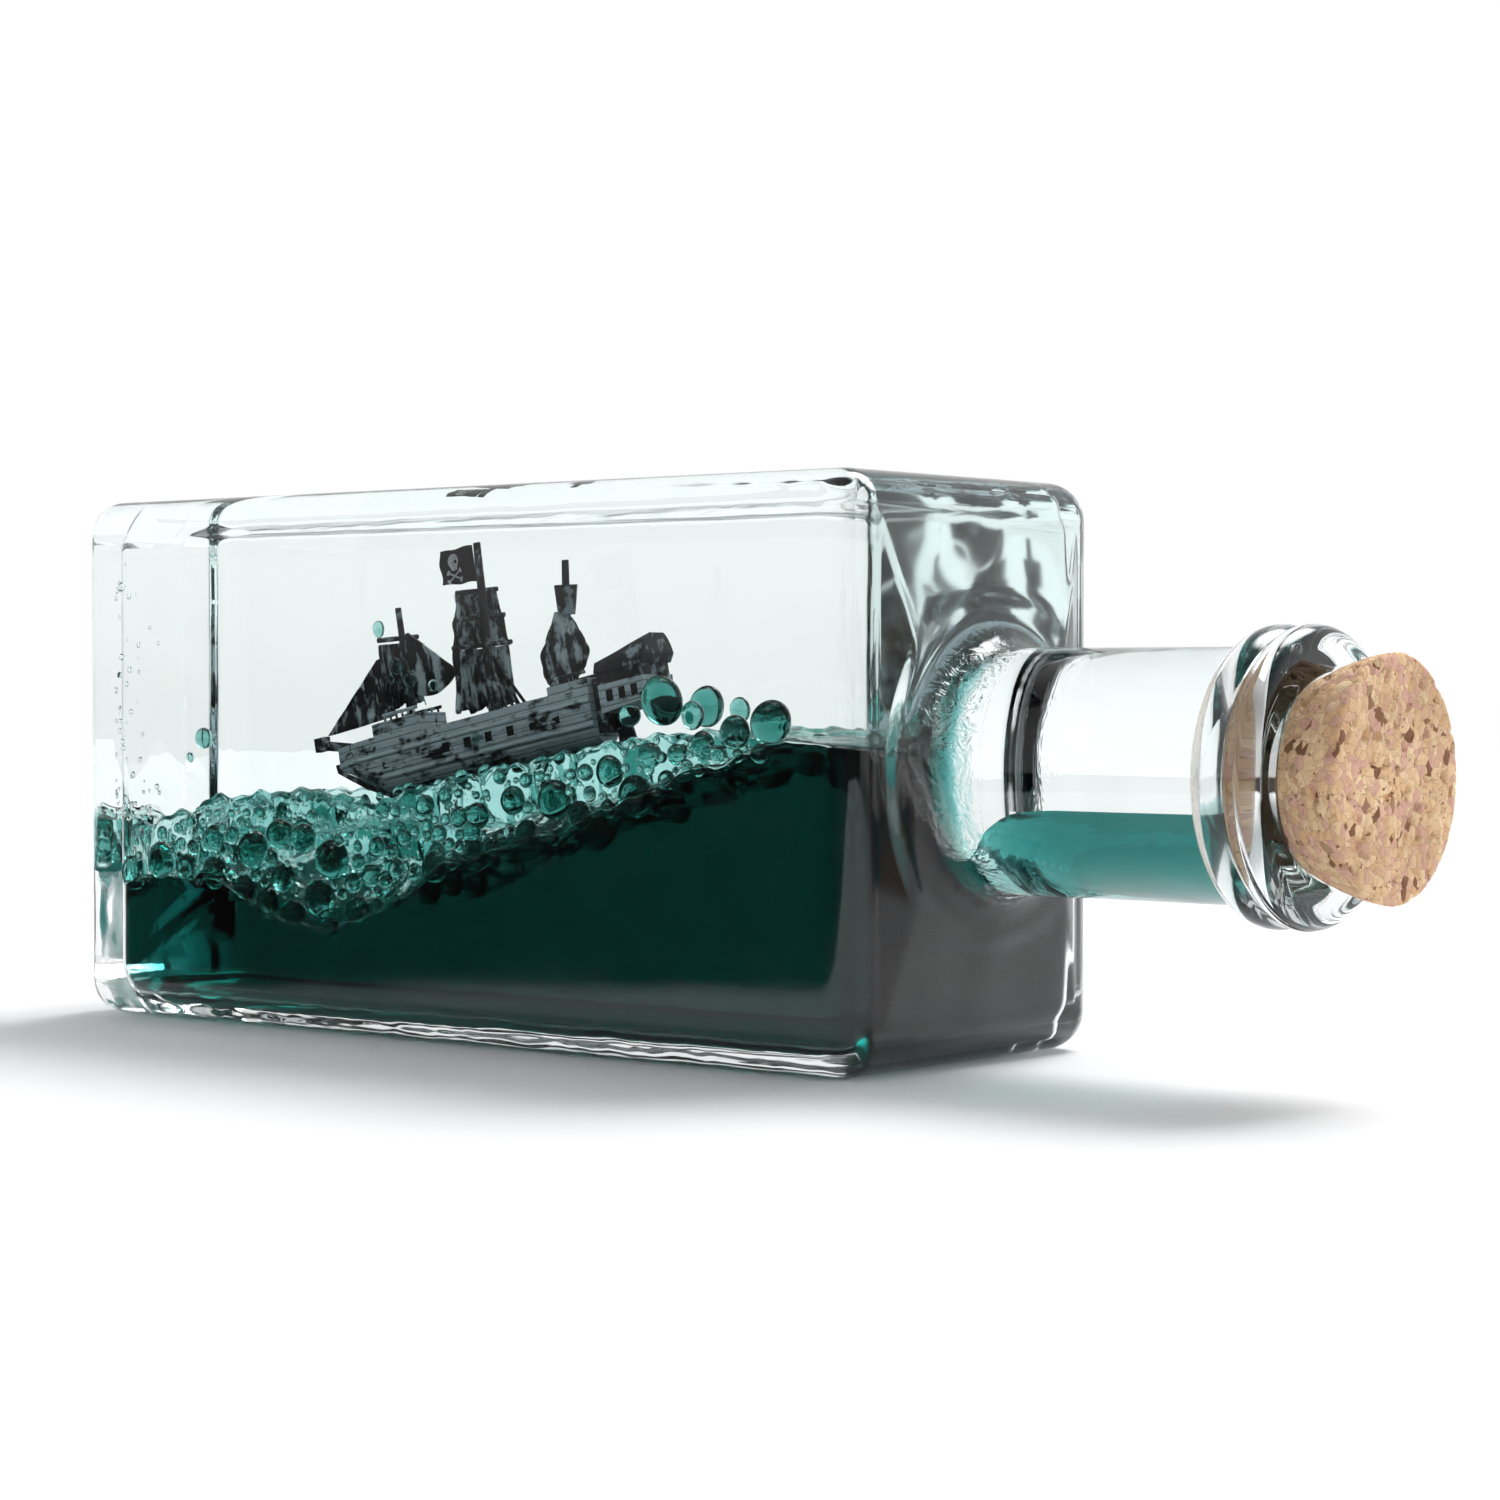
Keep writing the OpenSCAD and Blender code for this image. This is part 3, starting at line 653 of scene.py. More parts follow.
# Large bubbles that stand by themselves: X, Y, Z and radius
CREST_BUBBLES = [(12.6, -16.4, 32.6, 1.5), (16.6, -16.3, 33.9, 1.7), (21.2, -15.8, 34.9, 2.3),
                 (20.3, -17.0, 31.9, 1.1), (9.4, -16.9, 31.6, 1.2), (5.6, -16.6, 31.5, 1.4),
                 (-64.5, -12.0, 32.4, 1.3), (-66.0, -13.5, 30.2, 0.6)]
STERN_BUBBLES = [(3.0, -8.2, 36.9, 2.5), (-1.2, -8.6, 35.4, 1.3), (6.6, -7.0, 35.6, 1.5),
                 (0.8, 8.4, 36.4, 2.1), (5.4, 8.0, 36.0, 1.3)]
# How many drops of each size, and their smallest and largest radius
DROP_SIZES = [(44, 1.5, 2.4), (80, 0.95, 1.45), (150, 0.55, 0.9), (220, 0.3, 0.5),
              (160, 0.16, 0.28)]
BIG_R = 1.4


def ball(level):
    bm = bmesh.new()
    bmesh.ops.create_icosphere(bm, subdivisions=level, radius=1)
    verts = np.array([v.co for v in bm.verts])
    faces = [[v.index for v in f.verts] for f in bm.faces]
    bm.free()
    return verts, np.array(faces)


def bubbles(name, blobs, mat, seed, wall=True):
    """Many small drops as one mesh, each a little out of round and flat on the glass."""
    balls = {k: ball(k) for k in (2, 3, 4)}
    rng = np.random.default_rng(seed)
    verts, faces, base = [], [], 0
    for x, y, z, r in blobs:
        v, f = balls[4 if r > 1.35 else 3 if r > 0.42 else 2]
        phase = rng.uniform(0, math.tau, 3)
        wobble = 1 + 0.035 * np.sin(v @ rng.uniform(-2.2, 2.2, (3, 3)) + phase).sum(1)
        stretch = rng.uniform(0.93, 1.07, 3)
        p = v * stretch * wobble[:, None] * r + (x, y, z)
        if wall:
            edge = IN_W - FILL_GAP - 0.02
            p[:, 1] = np.clip(p[:, 1], -edge, edge)
            p[:, 0] = np.clip(p[:, 0], IN_X0 + 0.1, IN_X1 - 0.1)
        verts.append(p)
        faces += (f + base).tolist()
        base += len(p)
    return piece(name, np.concatenate(verts), faces, [mat])


def scatter_foam():
    """Drops of falling size, packed between the water's line and the foam's top."""
    rng = np.random.default_rng(7)
    placed = [np.array(b) for b in CREST_BUBBLES]
    for count, low, high in DROP_SIZES:
        made = tries = 0
        while made < count and tries < count * 60:
            tries += 1
            r = rng.uniform(low, high)
            big = r > BIG_R
            far = rng.random() > (0.85 if big else 0.68)
            x = rng.uniform(-26, 22) if far else rng.uniform(-74, -36 if big else -20)
            side = rng.random() * (0.75 if big else 1)
            y = (-IN_W + 0.8 * r if side < 0.62 else IN_W - 0.8 * r if side < 0.8
                 else rng.uniform(-IN_W + r, IN_W - r))
            under = float(water_z(x, y))
            top = float(foam_z(x, y)) + 0.3 - (0.6 if high < 1.2 else 2.4) * (x < -30)
            low_z, high_z = under + 0.15 * r, max(top - r, under + 0.7 * r)
            z = low_z + (high_z - low_z) * rng.random() ** (2.0 if r > 0.6 else 1.2)
            near_ship = (abs(y) - r < GAP_HALF_W and GAP_X0 < x < GAP_X1 + r
                         and z + r > gap_level(x))
            if near_ship or x - r < IN_X0 + 0.2:
                continue
            d = np.array(placed)
            gap = np.sqrt(((d[:, :3] - (x, y, z)) ** 2).sum(1)) - d[:, 3] - r
            if gap.min() > 0.01:
                placed.append(np.array((x, y, z, r)))
                made += 1
    return placed


def make_foam():
    body = foam_body(emulsion_material())
    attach(body, "foam_layer")
    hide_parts("foam")
    drops = bubbles("foam_drops", scatter_foam(), drop_material(), 3)
    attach(drops, "foam_layer")
    skin = clear_bead_material()
    line = make_water_line(skin)
    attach(line, "foam_layer")
    beads = bubbles("wall_beads", wall_beads(), skin, 4)
    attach(beads, "bottle")
    rng = np.random.default_rng(12)
    lo, hi = box_mm("wake_bubbles")
    row = list(STERN_BUBBLES)
    for side in (-1, 1):
        for x in np.linspace(lo[0] + 2, hi[0] - 8, 15):
            r = rng.uniform(0.5, 1.15)
            y = side * (7.4 + rng.uniform(-0.3, 0.6))
            row.append((x + rng.uniform(-0.7, 0.7), y, 28.2 + 0.17 * (x + 24) + 0.4 * r, r))
    wake = bubbles("wake_drops", row, drop_material(), 5, wall=False)
    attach(wake, "wake")
    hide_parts("wake_bubbles")


def make_water_line(mat):
    """The bright bead where the water's skin climbs the front and back walls."""
    verts, faces = [], []
    turns = np.linspace(0, math.tau, 10, endpoint=False)
    for side in (-1, 1):
        rings, base = [], len(verts)
        for x in np.arange(IN_X0 + 1.5, IN_X1 - 1.5, 0.45):
            r = 0.2 + 0.07 * math.sin(1.3 * x) + 0.04 * math.sin(3.1 * x + side)
            y = side * (IN_W - FILL_GAP - 0.33)
            z = float(water_z(x, y)) + 0.42
            rings.append(np.stack([np.full(10, x), y + r * np.cos(turns),
                                   z + r * np.sin(turns)], -1))
        verts += list(np.concatenate(rings))
        faces += ring_faces(len(rings), 10, base)
        faces += [tuple(base + i for i in range(10))[::-1],
                  tuple(len(verts) - 10 + i for i in range(10))]
    obj = piece("water_line", np.array(verts), faces, [mat])
    turn_outwards(obj)
    return obj


def wall_beads():
    """Small clear drops that cling to the glass near the bottle's base."""
    rng = np.random.default_rng(21)
    beads = []
    for _ in range(70):
        r = rng.uniform(0.14, 0.42) * (1.7 if rng.random() < 0.12 else 1)
        z = 23 + 30 * rng.random() ** 1.7
        beads.append((IN_X0 + rng.uniform(0.5, 9) * rng.random(), -IN_W + 0.7 * r, z, r))
    return beads


def clear_bead_material():
    return clear_material("water_skin", (0.93, 0.99, 0.98), 1.3, 0.02, (700, 2, 0.2, 0.0006))


def drop_material():
    return clear_material("foam_drop", (0.95, 1, 0.99), 1.2, 0.0, (900, 2, 0.05, 0.0005),
                          ((0.04, 0.56, 0.52), 700.0))


# ---------- cork ----------

GRAIN, CRACK, PIT = 0.16, 0.2, 0.6                # greatest depths


def cork_surface():
    """The side and both ends of the cork as [place along X, radius]."""
    x0, x1 = CORK_LO[0], CORK_HI[0]
    rim, r_in = CORK_HI[1], BORE_R - 0.05
    prof = [(x0, r) for r in np.linspace(0.3, r_in - 0.5, 22)]
    prof += [(x0 + 0.15, r_in - 0.15), (x0 + 0.4, r_in)]
    prof += [(x, r_in) for x in np.linspace(x0 + 0.8, MOUTH_X - 0.9, 12)]
    side = [(MOUTH_X - 0.1, r_in + 0.35), (MOUTH_X + 1.5, r_in + 1.2),
            (x1 - 2.4, rim - 0.5), (x1 - 0.5, rim - 0.1)]
    prof += [(x, float(curve(side, x))) for x in np.linspace(MOUTH_X - 0.1, x1 - 0.5, 26)]
    prof += [(x1 - 0.22, rim - 0.3)]
    prof += [(x1 - 0.06, r) for r in np.linspace(rim - 0.7, 0.3, 42)]
    return prof


def make_cork():
    """The stopper, with grain, cracks between its granules, and pits where it stands out."""
    around = 168
    turns = np.linspace(0, math.tau, around, endpoint=False)
    rings = []
    for x, r in cork_surface():
        rings.append(np.column_stack([np.full(around, x), r * np.cos(turns),
                                      AXIS_Z + r * np.sin(turns)]))
    pts = np.concatenate(rings)
    face = smoothstep(CORK_HI[0] - 0.4, CORK_HI[0] - 0.1, pts[:, 0])
    out = smoothstep(MOUTH_X - 0.5, MOUTH_X + 1, pts[:, 0])
    inwards = np.column_stack([0 * face, -pts[:, 1], AXIS_Z - pts[:, 2]])
    inwards /= np.linalg.norm(inwards, axis=1)[:, None] + 1e-9
    inwards = inwards * (1 - face)[:, None] + np.array([-1.0, 0, 0]) * face[:, None]
    depth = np.zeros(len(pts))
    for i, p in enumerate(pts):
        if out[i] > 0:
            grain = GRAIN * (0.5 + 0.5 * noise.noise(Vector(p) * 0.9))
            cells = noise.voronoi(Vector(p) * 0.5)[0]
            crack = CRACK * max(0.0, 1 - (cells[1] - cells[0]) / 0.09)
            pit = PIT * smoothstep(0.34, 0.5, noise.noise(Vector(p) * 0.75 + Vector((3, 9, 1))))
            depth[i] = (grain + crack + float(pit)) * out[i]
    pts = pts + inwards * depth[:, None]
    obj = piece("cork_stopper", pts, tube_faces(rings), [cork_material()])
    turn_outwards(obj)
    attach(obj, "stopper")
    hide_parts("cork")


def cork_material():
    m, n = material("cork")
    at = n.coords()
    warp = n.add("ShaderNodeTexNoise", {"Vector": at, "Scale": 500.0, "Detail": 2.0})
    bent = n.add("ShaderNodeVectorMath", {0: at, 1: n.add("ShaderNodeVectorMath",
                 {0: warp.outputs["Color"], "Scale": 0.0012}, operation="SCALE").outputs[0]},
                 operation="ADD").outputs[0]
    cell = n.add("ShaderNodeTexVoronoi", {"Vector": bent, "Scale": 950.0})
    edge = n.add("ShaderNodeTexVoronoi", {"Vector": bent, "Scale": 950.0},
                 feature="DISTANCE_TO_EDGE").outputs["Distance"]
    tone = n.add("ShaderNodeSeparateColor", {0: cell.outputs["Color"]})
    pale = n.mix(tone.outputs[0], (0.80, 0.50, 0.27), (0.97, 0.73, 0.46))
    pink = n.mix(n.ramp(tone.outputs[1], 0.55, 0.9), pale, (0.78, 0.46, 0.36))
    dark = n.mix(n.ramp(tone.outputs[2], 0.93, 0.97), pink, (0.24, 0.11, 0.06))
    seam = n.mix(n.ramp(edge, 0.05, 0.0, 0.0, 0.55), dark, (0.36, 0.19, 0.10))
    speck = n.mix(n.ramp(n.noise(at, 1500, 3), 0.62, 0.72), seam, (0.22, 0.10, 0.05))
    stain = n.mix(n.ramp(n.noise(at, 120, 3), 0.35, 0.7, 0, 0.35), speck, (0.42, 0.24, 0.13))
    rough = n.math("ADD", n.noise(bent, 1400, 4), n.math("MULTIPLY", edge, 2.0))
    surface(n, {"Base Color": stain, "Roughness": 0.82, "Specular IOR Level": 0.25,
                "Normal": n.bump(rough, 0.5, 0.0003)})
    return m


# ---------- ship ----------

SHIP_AT = Vector(joint("ship_pitch")["pos_m"]) / MM
TRIM = math.radians(11.4)                         # bow-down
BRACE = math.radians(22)                          # the square sails' turn about their masts
STEM_X, STERN_X, DECK_Z = -24.6, 15.6, 3.4
# The gathered mizzen sail's edges as [Z, X]
BUNDLE_AFT = [(5.5, 9.0), (6.2, 8.3), (7.4, 7.9), (8.9, 8.0), (10.4, 8.9), (11.8, 9.7),
              (12.8, 10.2), (13.5, 10.7)]
BUNDLE_FORE = [(5.5, 11.4), (6.2, 12.6), (7.4, 13.9), (8.9, 14.4), (10.4, 14.0), (11.8, 13.2),
               (12.8, 12.5), (13.5, 11.5)]
MAIN, FORE = (-0.3, 3.7, 3.5), (-12.7, 6.6, 2.3)     # foot X, foot Z, rake in degrees
# The hull's half breadth at the deck, and the height of its bottom, as [X, value]
DECK_HALF = [(STEM_X, 0.4), (-20.5, 2.3), (-15.5, 3.6), (-6, 4.3), (6, 4.4), (STERN_X, 3.9)]
BOTTOM = [(STEM_X, 2.6), (-22.6, 1.7), (-20.5, 0.4), (-18, -0.9), (-15.5, -1.7), (-12, -1.8),
          (STERN_X, -1.8)]
# Beads of dyed water on the ship: X, Y, Z and radius
SHIP_BEADS = [(-14.7, -1.9, 17.0, 0.9), (-11.2, -4.8, 12.2, 1.05), (-9.7, -4.6, 10.2, 0.8),
              (-0.7, -5.05, 2.0, 0.6), (-12.6, -4.4, 10.9, 0.45), (-6.0, -5.0, 9.0, 0.7)]
FLAG_FOOT, FLAG_LENGTH = 19.3, 4.9


def on_ship(points):
    """From the ship's own frame to the bottle's."""
    p = np.asarray(points, float)
    c, s = math.cos(TRIM), math.sin(TRIM)
    return np.stack([SHIP_AT[0] + p[:, 0] * c - p[:, 2] * s, SHIP_AT[1] + p[:, 1],
                     SHIP_AT[2] + p[:, 0] * s + p[:, 2] * c], -1)


def ship_coords(n, scale=(1, 1, 1)):
    """Object coordinates turned to run along the ship."""
    turn = Matrix.Rotation(TRIM, 3, "Y")
    shift = -(turn @ (Vector(SHIP_AT) * MM))
    base = n.add("ShaderNodeTexCoord").outputs["Object"]
    own = n.add("ShaderNodeMapping", {"Vector": base, "Location": shift,
                "Rotation": (0, TRIM, 0)}).outputs["Vector"]
    return n.add("ShaderNodeMapping", {"Vector": own, "Scale": scale}).outputs["Vector"]


def mast_x(mast, z):
    return mast[0] + (z - mast[1]) * math.tan(math.radians(mast[2]))


def dry_brush(name, under, over, amount, planks=0.0, along=(1, 1, 1)):
    """Dark paint with a paler coat dragged over the raised parts."""
    m, n = material(name)
    at = ship_coords(n)
    streak = n.noise(ship_coords(n, along), 700, 4, 0.65, 0.4)
    blotch = n.noise(at, 420, 4, 0.6)
    grit = n.noise(at, 2600, 3)
    coat = n.math("ADD", n.math("MULTIPLY", streak, 0.55), n.math("MULTIPLY", blotch, 0.45))
    coat = n.ramp(coat, 0.65 - amount * 0.25, 0.75 - amount * 0.25)
    height = n.math("ADD", n.math("MULTIPLY", streak, 0.6), n.math("MULTIPLY", grit, 0.4))
    if planks:
        sep = n.add("ShaderNodeSeparateXYZ", {0: at})
        part = n.math("FRACT", n.math("MULTIPLY", sep.outputs[2], 1 / (planks * MM)))
        groove = n.math("MINIMUM", n.ramp(part, 0.0, 0.14), n.ramp(part, 1.0, 0.86))
        coat = n.math("MULTIPLY", coat, n.ramp(groove, 0.0, 1.0, 0.45, 1.0))
        height = n.math("ADD", n.math("MULTIPLY", height, 0.5), groove)
    tint = n.mix(blotch, over, tuple(c * 0.62 for c in over))
    surface(n, {"Base Color": n.mix(coat, under, tint), "Roughness": 0.62,
                "Specular IOR Level": 0.35, "Normal": n.bump(height, 0.5, 0.00025)})
    return m


def hull_half(x, u):
    """Half breadth at a share u of the height from the keel to the deck."""
    return curve(DECK_HALF, x) * (1 - (1 - u) ** 3.2) ** 0.42


def make_hull(sides):
    """A lofted hull of lapped planks, with two rubbing strakes and framed ports."""
    rings = []
    u = np.linspace(0.004, 1, 34)
    for x in np.linspace(STEM_X, STERN_X, 96):
        low, top = float(curve(BOTTOM, x)), DECK_Z
        z = low + (top - low) * u
        y = hull_half(x, u) + 0.11 * (1 - (u * 8) % 1) * smoothstep(0.1, 0.3, u)
        y = y + 0.28 * np.exp(-((z - 0.35) / 0.22) ** 2) * smoothstep(-18, -15, x)
        y = y + 0.16 * np.exp(-((z - 3.0) / 0.2) ** 2)
        side = np.stack([np.full(len(u), x), y, z], -1)
        rings.append(np.concatenate([side[::-1] * [1, -1, 1], side]))
    faces = tube_faces(rings)
    verts = list(np.concatenate(rings))
    for side in (-1, 1):
        for i in range(9):
            x = -15.6 + 3.3 * i
            y = side * (float(curve(DECK_HALF, x)) - 0.02)
            for cx, cz, w, h in ((x, 2.5, 1.5, 0.22), (x, 1.2, 1.5, 0.22),
                                 (x - 0.66, 1.85, 0.22, 1.1), (x + 0.66, 1.85, 0.22, 1.1)):
                add_block(verts, faces, (cx, y, cz), (w / 2, 0.34, h / 2))
    obj = piece("hull_planked", on_ship(verts), faces, [sides], smooth=False)
    turn_outwards(obj)
    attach(obj, "ship")
    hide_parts("hull", "wales")


def add_block(verts, faces, centre, half, soft=0.75):
    """A small block with eased edges, as four stacked outlines."""
    cx, cy, cz = centre
    base = len(verts)
    for dy, s in ((-1, soft), (-0.5, 1), (0.5, 1), (1, soft)):
        for sx, sz in ((-1, -1), (1, -1), (1, 1), (-1, 1)):
            verts.append(np.array((cx + sx * half[0] * s, cy + dy * half[1],
                                   cz + sz * half[2] * s)))
    faces += ring_faces(4, 4, base)
    faces.append((base, base + 1, base + 2, base + 3))
    faces.append((base + 12, base + 15, base + 14, base + 13))


def sheet_solid(name, grid, normals, thick, mats):
    """A closed thin solid from a grid of points (rows, columns, 3)."""
    rows, cols = grid.shape[:2]
    a = (grid - normals * thick / 2).reshape(-1, 3)
    b = (grid + normals * thick / 2).reshape(-1, 3)
    count = rows * cols
    faces = []
    for i in range(rows - 1):
        for j in range(cols - 1):
            k = i * cols + j
            faces.append((k, k + 1, k + cols + 1, k + cols))
            faces.append(tuple(count + q for q in (k, k + cols, k + cols + 1, k + 1)))
    rim = ([(0, j) for j in range(cols)] + [(i, cols - 1) for i in range(1, rows)]
           + [(rows - 1, j) for j in range(cols - 2, -1, -1)]
           + [(i, 0) for i in range(rows - 2, 0, -1)])
    ids = [i * cols + j for i, j in rim]
    for p, q in zip(ids, ids[1:] + ids[:1]):
        faces.append((p, count + p, count + q, q))
    obj = piece(name, on_ship(np.concatenate([a, b])), faces, mats)
    turn_outwards(obj)
    return obj


def make_square_sail(name, node, mast, radius, z0, z1, half0, half1, belly, mat):
    """A square sail cast with deep folds that fan out from its head."""
    rows, cols = 22, 56
    v = np.linspace(0, 1, rows)[:, None]
    t = np.linspace(-1, 1, cols)[None, :]
    half = half0 + (half1 - half0) * v
    ragged = 0.22 * np.sin(9 * t + 1) * (1 - v) ** 3 + 0.12 * np.sin(23 * t) * (1 - v) ** 4
    y = t * half * (1 + 0.04 * np.sin(7 * v + 2))
    z = z0 + (z1 - z0) * v + ragged
    folds = 0.24 * np.sin(t * half0 * 4.6) * (0.35 + 0.65 * (1 - v)) + 0.1 * np.sin(9 * v + 4 * t)
    x = mast_x(mast, z0) - radius - 0.35 - belly * (1 - t ** 2) * (0.55 + 0.45 * np.sin(
        math.pi * np.clip(v, 0, 1)) ** 0.7) + folds + (z - z0) * math.tan(math.radians(mast[2]))
    c, s = math.cos(BRACE), math.sin(BRACE)
    foot = mast_x(mast, z0)
    x, y = foot + (x - foot) * c + y * s, y * c - (x - foot) * s
    grid = np.stack([x, y, z + 0 * t], -1)
    slope = np.stack([np.ones_like(t), -2 * belly * t / half0, 0 * t], -1) * np.ones((rows, 1, 1))
    slope = slope @ np.array([[c, -s, 0], [s, c, 0], [0, 0, 1]])
    slope /= np.linalg.norm(slope, axis=2)[..., None]
    obj = sheet_solid(name, grid, slope, 0.6, [mat])
    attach(obj, "ship")
    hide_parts(node)


def make_flat_sail(name, node, head, tack, clew, foot_dip, thick, mat, y0=0.0):
    """A fore-and-aft sail between three corners, its cloth creased towards the head."""
    head, tack, clew = (np.array((p[0], p[1])) for p in (head, tack, clew))
    rows, cols = 30, 26
    v = np.linspace(0, 1, rows)[:, None, None]
    t = np.linspace(0, 1, cols)[None, :, None]
    low = tack * (1 - t) + clew * t
    low = low - np.array((0, 1.0)) * (4 * t * (1 - t) * foot_dip)
    at = low * (1 - v) + (head + (clew - tack) * (t - 0.5) * 0.12) * v
    tt, vv = t[..., 0], v[..., 0]
    y = (y0 + 0.32 * np.sin(math.pi * tt) * np.sin(math.pi * vv) + 0.12 * np.sin(17 * tt) * (1 - vv)
         + 0.05 * np.sin(21 * vv + 5 * tt))
    grid = np.stack([at[..., 0], y, at[..., 1]], -1)
    normal = np.zeros_like(grid)
    normal[..., 1] = 1
    obj = sheet_solid(name, grid, normal, thick, [mat])
    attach(obj, "ship")
    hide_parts(node)


def make_furled_sail(mat):
    """The gathered sail on the mizzen mast: a bundle of cloth, widest near its foot."""
    rings = []
    a = np.linspace(0, math.tau, 48, endpoint=False)
    for z in np.linspace(BUNDLE_AFT[0][0], BUNDLE_AFT[-1][0], 30):
        x0, x1 = float(curve(BUNDLE_AFT, z)), float(curve(BUNDLE_FORE, z))
        thick = 0.45 + 0.75 * math.sin(math.pi * min(max((z - 5.3) / 8.4, 0), 1)) ** 0.7
        fold = 1 + 0.10 * np.sin(7 * a + 0.9 * z) + 0.06 * np.sin(15 * a - 1.4 * z)
        rings.append(on_ship(np.stack([(x0 + x1) / 2 + (x1 - x0) / 2 * np.cos(a) * fold,
                                       thick * np.sin(a) * fold,
                                       z + 0.15 * np.sin(3 * a + z)], -1)))
    obj = tube("furled_sail", rings, mat)
    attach(obj, "ship")
    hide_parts("mizzen_sail")


def flag_y(x, z):
    """The wave in the flag, growing towards its free end."""
    far = (mast_x(MAIN, FLAG_FOOT) - 0.6 - x) / 4.8
    return 0.42 * np.sin(1.35 * (x + 0.2 * z)) * far


def make_flag(mat, white, dark):
    x1 = mast_x(MAIN, FLAG_FOOT) - 0.55
    v = np.linspace(0, 1, 20)[:, None]
    t = np.linspace(0, 1, 28)[None, :]
    x = x1 - FLAG_LENGTH * t + 0.12 * np.sin(8 * v) * t
    z = 19.4 + 4.1 * v + 0.25 * t + 0.08 * np.sin(9 * t) + 0.3 * t * (1 - v)
    grid = np.stack([x + 0 * v, flag_y(x, z), z + 0 * t], -1)
    normal = np.zeros_like(grid)
    normal[..., 1] = 1
    obj = sheet_solid("flag_cloth", grid, normal, 0.3, [mat])
    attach(obj, "ship")
    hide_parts("flag")
    make_emblem((x1 - 3.05, 21.95), white, dark)


def make_emblem(centre, white, dark):
    """A plain skull over two bones, in raised paint that follows the cloth."""
    cx, cz = centre
    verts, faces, slots = [], [], []

    def patch(outline, lift, slot):
        base, k = len(verts), len(outline)
        mid = np.mean(outline, 0)
        for depth in (0.05, lift):
            for p in [mid] + list(outline):
                x, z = cx + p[0], cz + p[1]
                verts.append((x, float(flag_y(x, z)) - 0.15 - depth, z))
        for i in range(k):
            j = (i + 1) % k
            a, b = base + 1 + i, base + 1 + j
            c, d = a + k + 1, b + k + 1
            faces.extend([(base, b, a), (base + k + 1, c, d), (a, b, d, c)])
            slots.extend([slot] * 3)

    def turned(points, angle):
        c, s = math.cos(angle), math.sin(angle)
        return points @ np.array([[c, s], [-s, c]])

    def disc(x, z, rx, rz, turn=0.0, k=20):
        a = np.linspace(0, math.tau, k, endpoint=False)
        return turned(np.stack([rx * np.cos(a), rz * np.sin(a)], -1), turn) + (x, z)

    a = np.linspace(math.radians(-38), math.radians(218), 24)
    dome = np.stack([0.86 * np.cos(a), 0.42 + 0.8 * np.sin(a)], -1)
    jaw = np.array([(-0.5, -0.42), (-0.44, -0.66), (0.44, -0.66), (0.5, -0.42)])
    patch(np.concatenate([dome, jaw]), 0.12, 0)
    for x, z, rx, rz, turn in ((-0.34, 0.28, 0.23, 0.2, 0.2), (0.34, 0.28, 0.23, 0.2, -0.2),
                               (0, -0.06, 0.07, 0.13, 0)):
        patch(disc(x, z, rx, rz, turn), 0.15, 1)
    for x in (-0.22, 0, 0.22):
        patch(disc(x, -0.54, 0.03, 0.13), 0.15, 1)
    for sign in (-1, 1):
        bar = np.array([(-1.05, -0.1), (1.05, -0.1), (1.05, 0.1), (-1.05, 0.1)])
        patch(turned(bar, sign * 0.5) + (0, -1.3), 0.1, 0)
        for end in (-1, 1):
            for off in (-0.12, 0.12):
                p = turned(np.array((end * 1.08, off)), sign * 0.5) + (0, -1.3)
                patch(disc(p[0], p[1], 0.17, 0.17, k=12), 0.11, 0)
    obj = piece("flag_paint", on_ship(verts), faces, [white, dark], smooth=False,
                face_slots=slots)
    turn_outwards(obj)
    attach(obj, "ship")
    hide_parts("flag_emblem")


def paint(nodes, mat):
    """Puts a material on CAD nodes that keep their own shape."""
    for name in nodes:
        obj = frame["nodes"][name]
        if not obj.material_slots:
            obj.data.materials.append(mat)
        for s in obj.material_slots:
            s.link = "OBJECT"
            s.material = mat


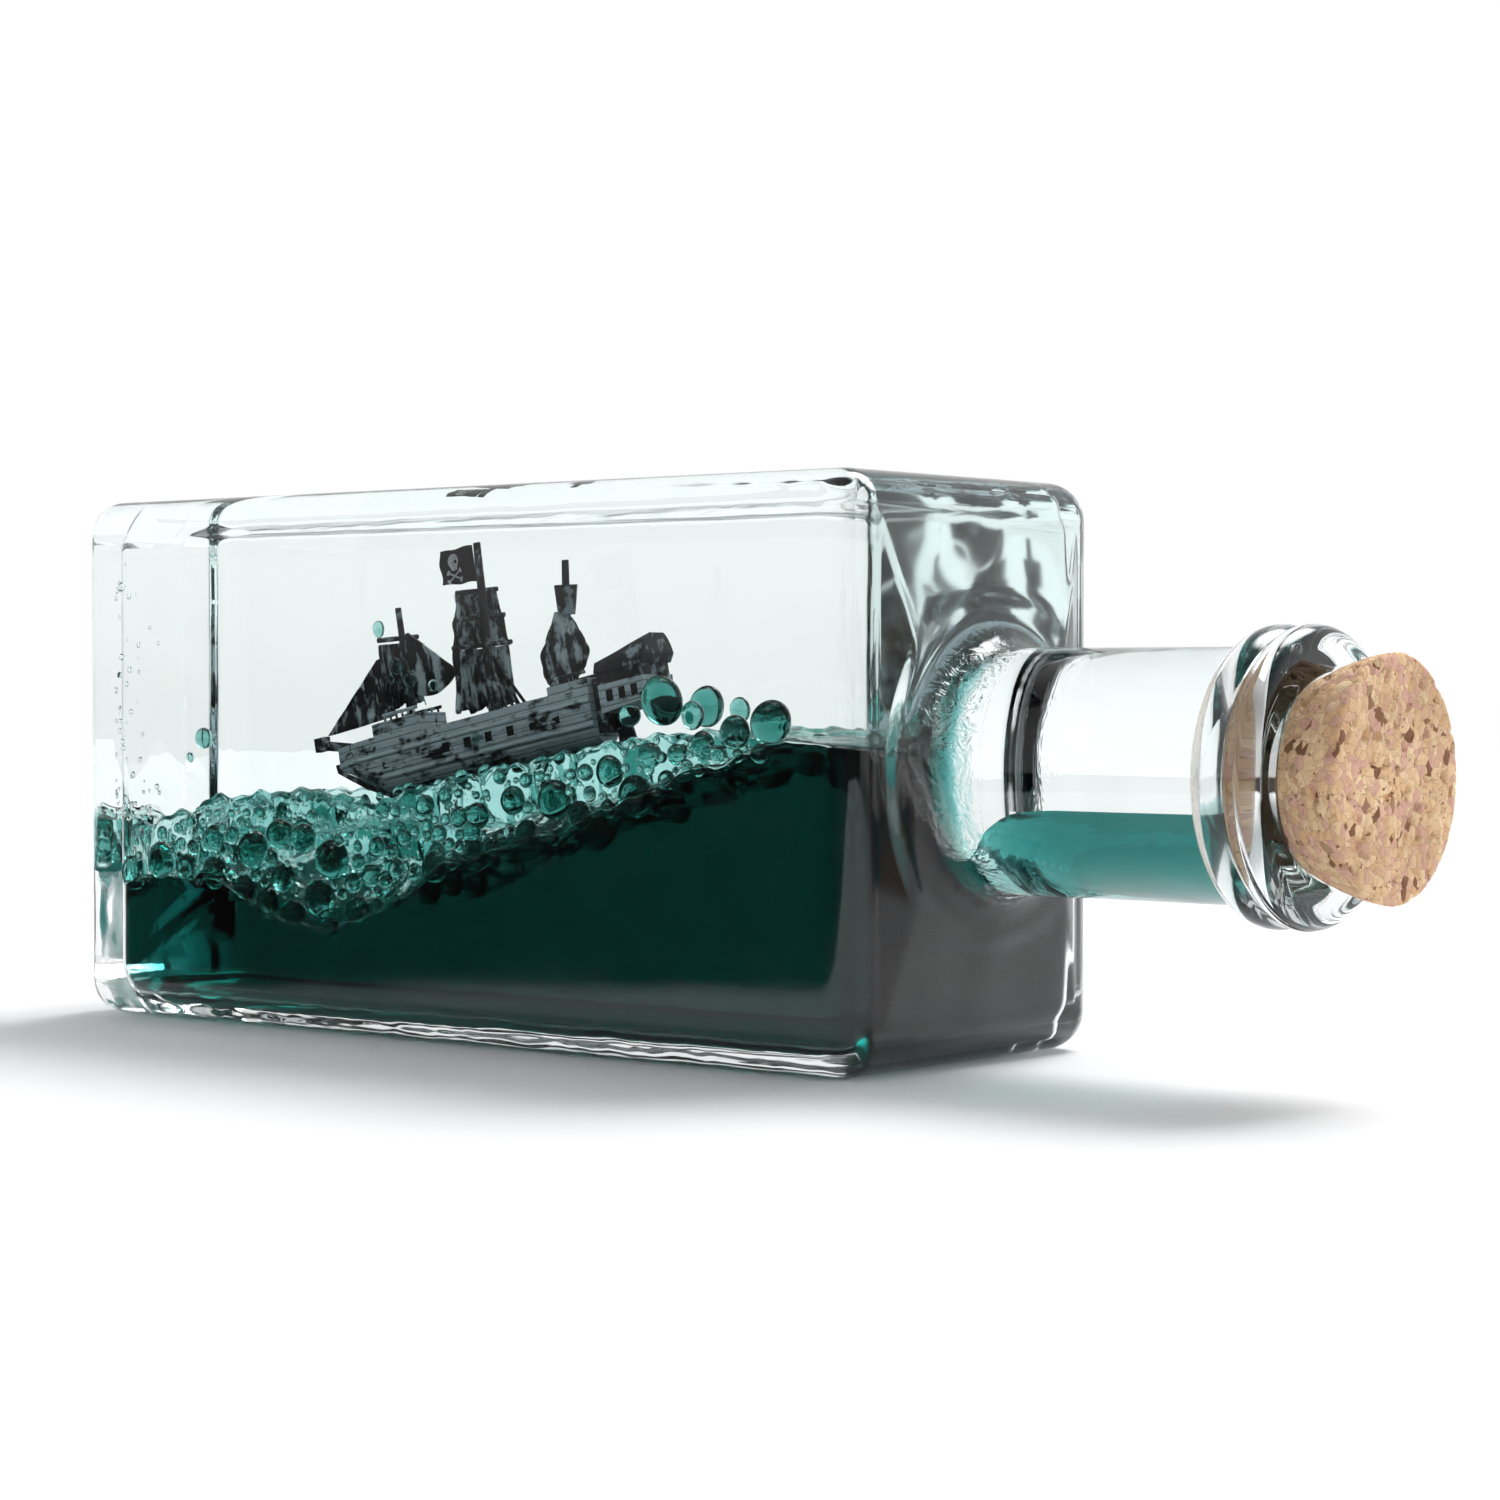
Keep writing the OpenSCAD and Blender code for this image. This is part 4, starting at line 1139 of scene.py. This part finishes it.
def make_ship():
    black, blue = (0.014, 0.017, 0.019), (0.62, 0.77, 0.84)
    sides = dry_brush("ship_sides", black, blue, 1.0, planks=0.9, along=(0.25, 1, 1))
    works = dry_brush("ship_works", black, blue, 0.75, along=(0.4, 1, 1))
    dark = dry_brush("ship_dark", black, (0.40, 0.50, 0.55), 0.55)
    hole = dry_brush("ship_openings", (0.004, 0.004, 0.005), (0.02, 0.03, 0.03), 0.2)
    sail = dry_brush("sail_paint", (0.008, 0.009, 0.010), (0.62, 0.76, 0.82), 0.66,
                     along=(1, 1, 0.18))
    cloth = dry_brush("flag_cloth", (0.008, 0.008, 0.009), (0.05, 0.06, 0.065), 0.3)
    white = dry_brush("emblem_paint", (0.62, 0.66, 0.66), (0.85, 0.87, 0.86), 0.9)
    make_hull(sides)
    paint(["bulwarks", "forecastle", "quarterdeck", "stern_gallery"], sides)
    paint(["forecastle_rail", "quarterdeck_rail"], works)
    paint(["keel", "rudder", "deck", "stern_block", "stern_castle", "stern_lantern",
           "bowsprit", "foremast", "mainmast", "mizzenmast", "crows_nest", "main_yards",
           "fore_yard", "shrouds"], dark)
    paint(["gun_ports", "gallery_windows"], hole)
    make_square_sail("fore_sail", "foresail", FORE, 0.6, 8.2, 15.2, 3.6, 3.0, 1.0, sail)
    make_square_sail("lower_sail", "main_lower_sail", MAIN, 0.7, 5.4, 12.1, 5.3, 4.6, 1.7, sail)
    make_square_sail("middle_sail", "main_middle_sail", MAIN, 0.7, 12.2, 15.5, 4.6, 4.0, 1.4,
                     sail)
    make_square_sail("upper_sail", "main_upper_sail", MAIN, 0.7, 15.6, 18.5, 4.0, 3.2, 1.2,
                     sail)
    make_flat_sail("jib_sail", "jib", (-16.0, 14.0), (-26.0, 7.0), (-15.0, 7.3), 0.1, 0.5, sail)
    make_flat_sail("stay_sail", "staysail", (-11.7, 15.9), (-11.6, 9.1), (-4.7, 10.4), 1.2,
                   0.5, sail)
    make_furled_sail(sail)
    make_flag(cloth, white, hole)
    places = on_ship([b[:3] for b in SHIP_BEADS])
    drops = bubbles("ship_beads", [(*p, b[3]) for p, b in zip(places, SHIP_BEADS)],
                    drop_material(), 9, wall=False)
    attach(drops, "ship")
    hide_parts("water_beads")


def seal_material():
    return clear_material("clear_seal", (0.97, 0.98, 0.98), 1.08, 0.12, (300, 2, 0.1, 0.0005))


# ---------- the scene ----------

set_look()
make_camera()
make_floor()
make_world()
make_bottle()
make_liquids()
make_foam()
make_cork()
make_ship()
paint(["inner_seal"], seal_material())
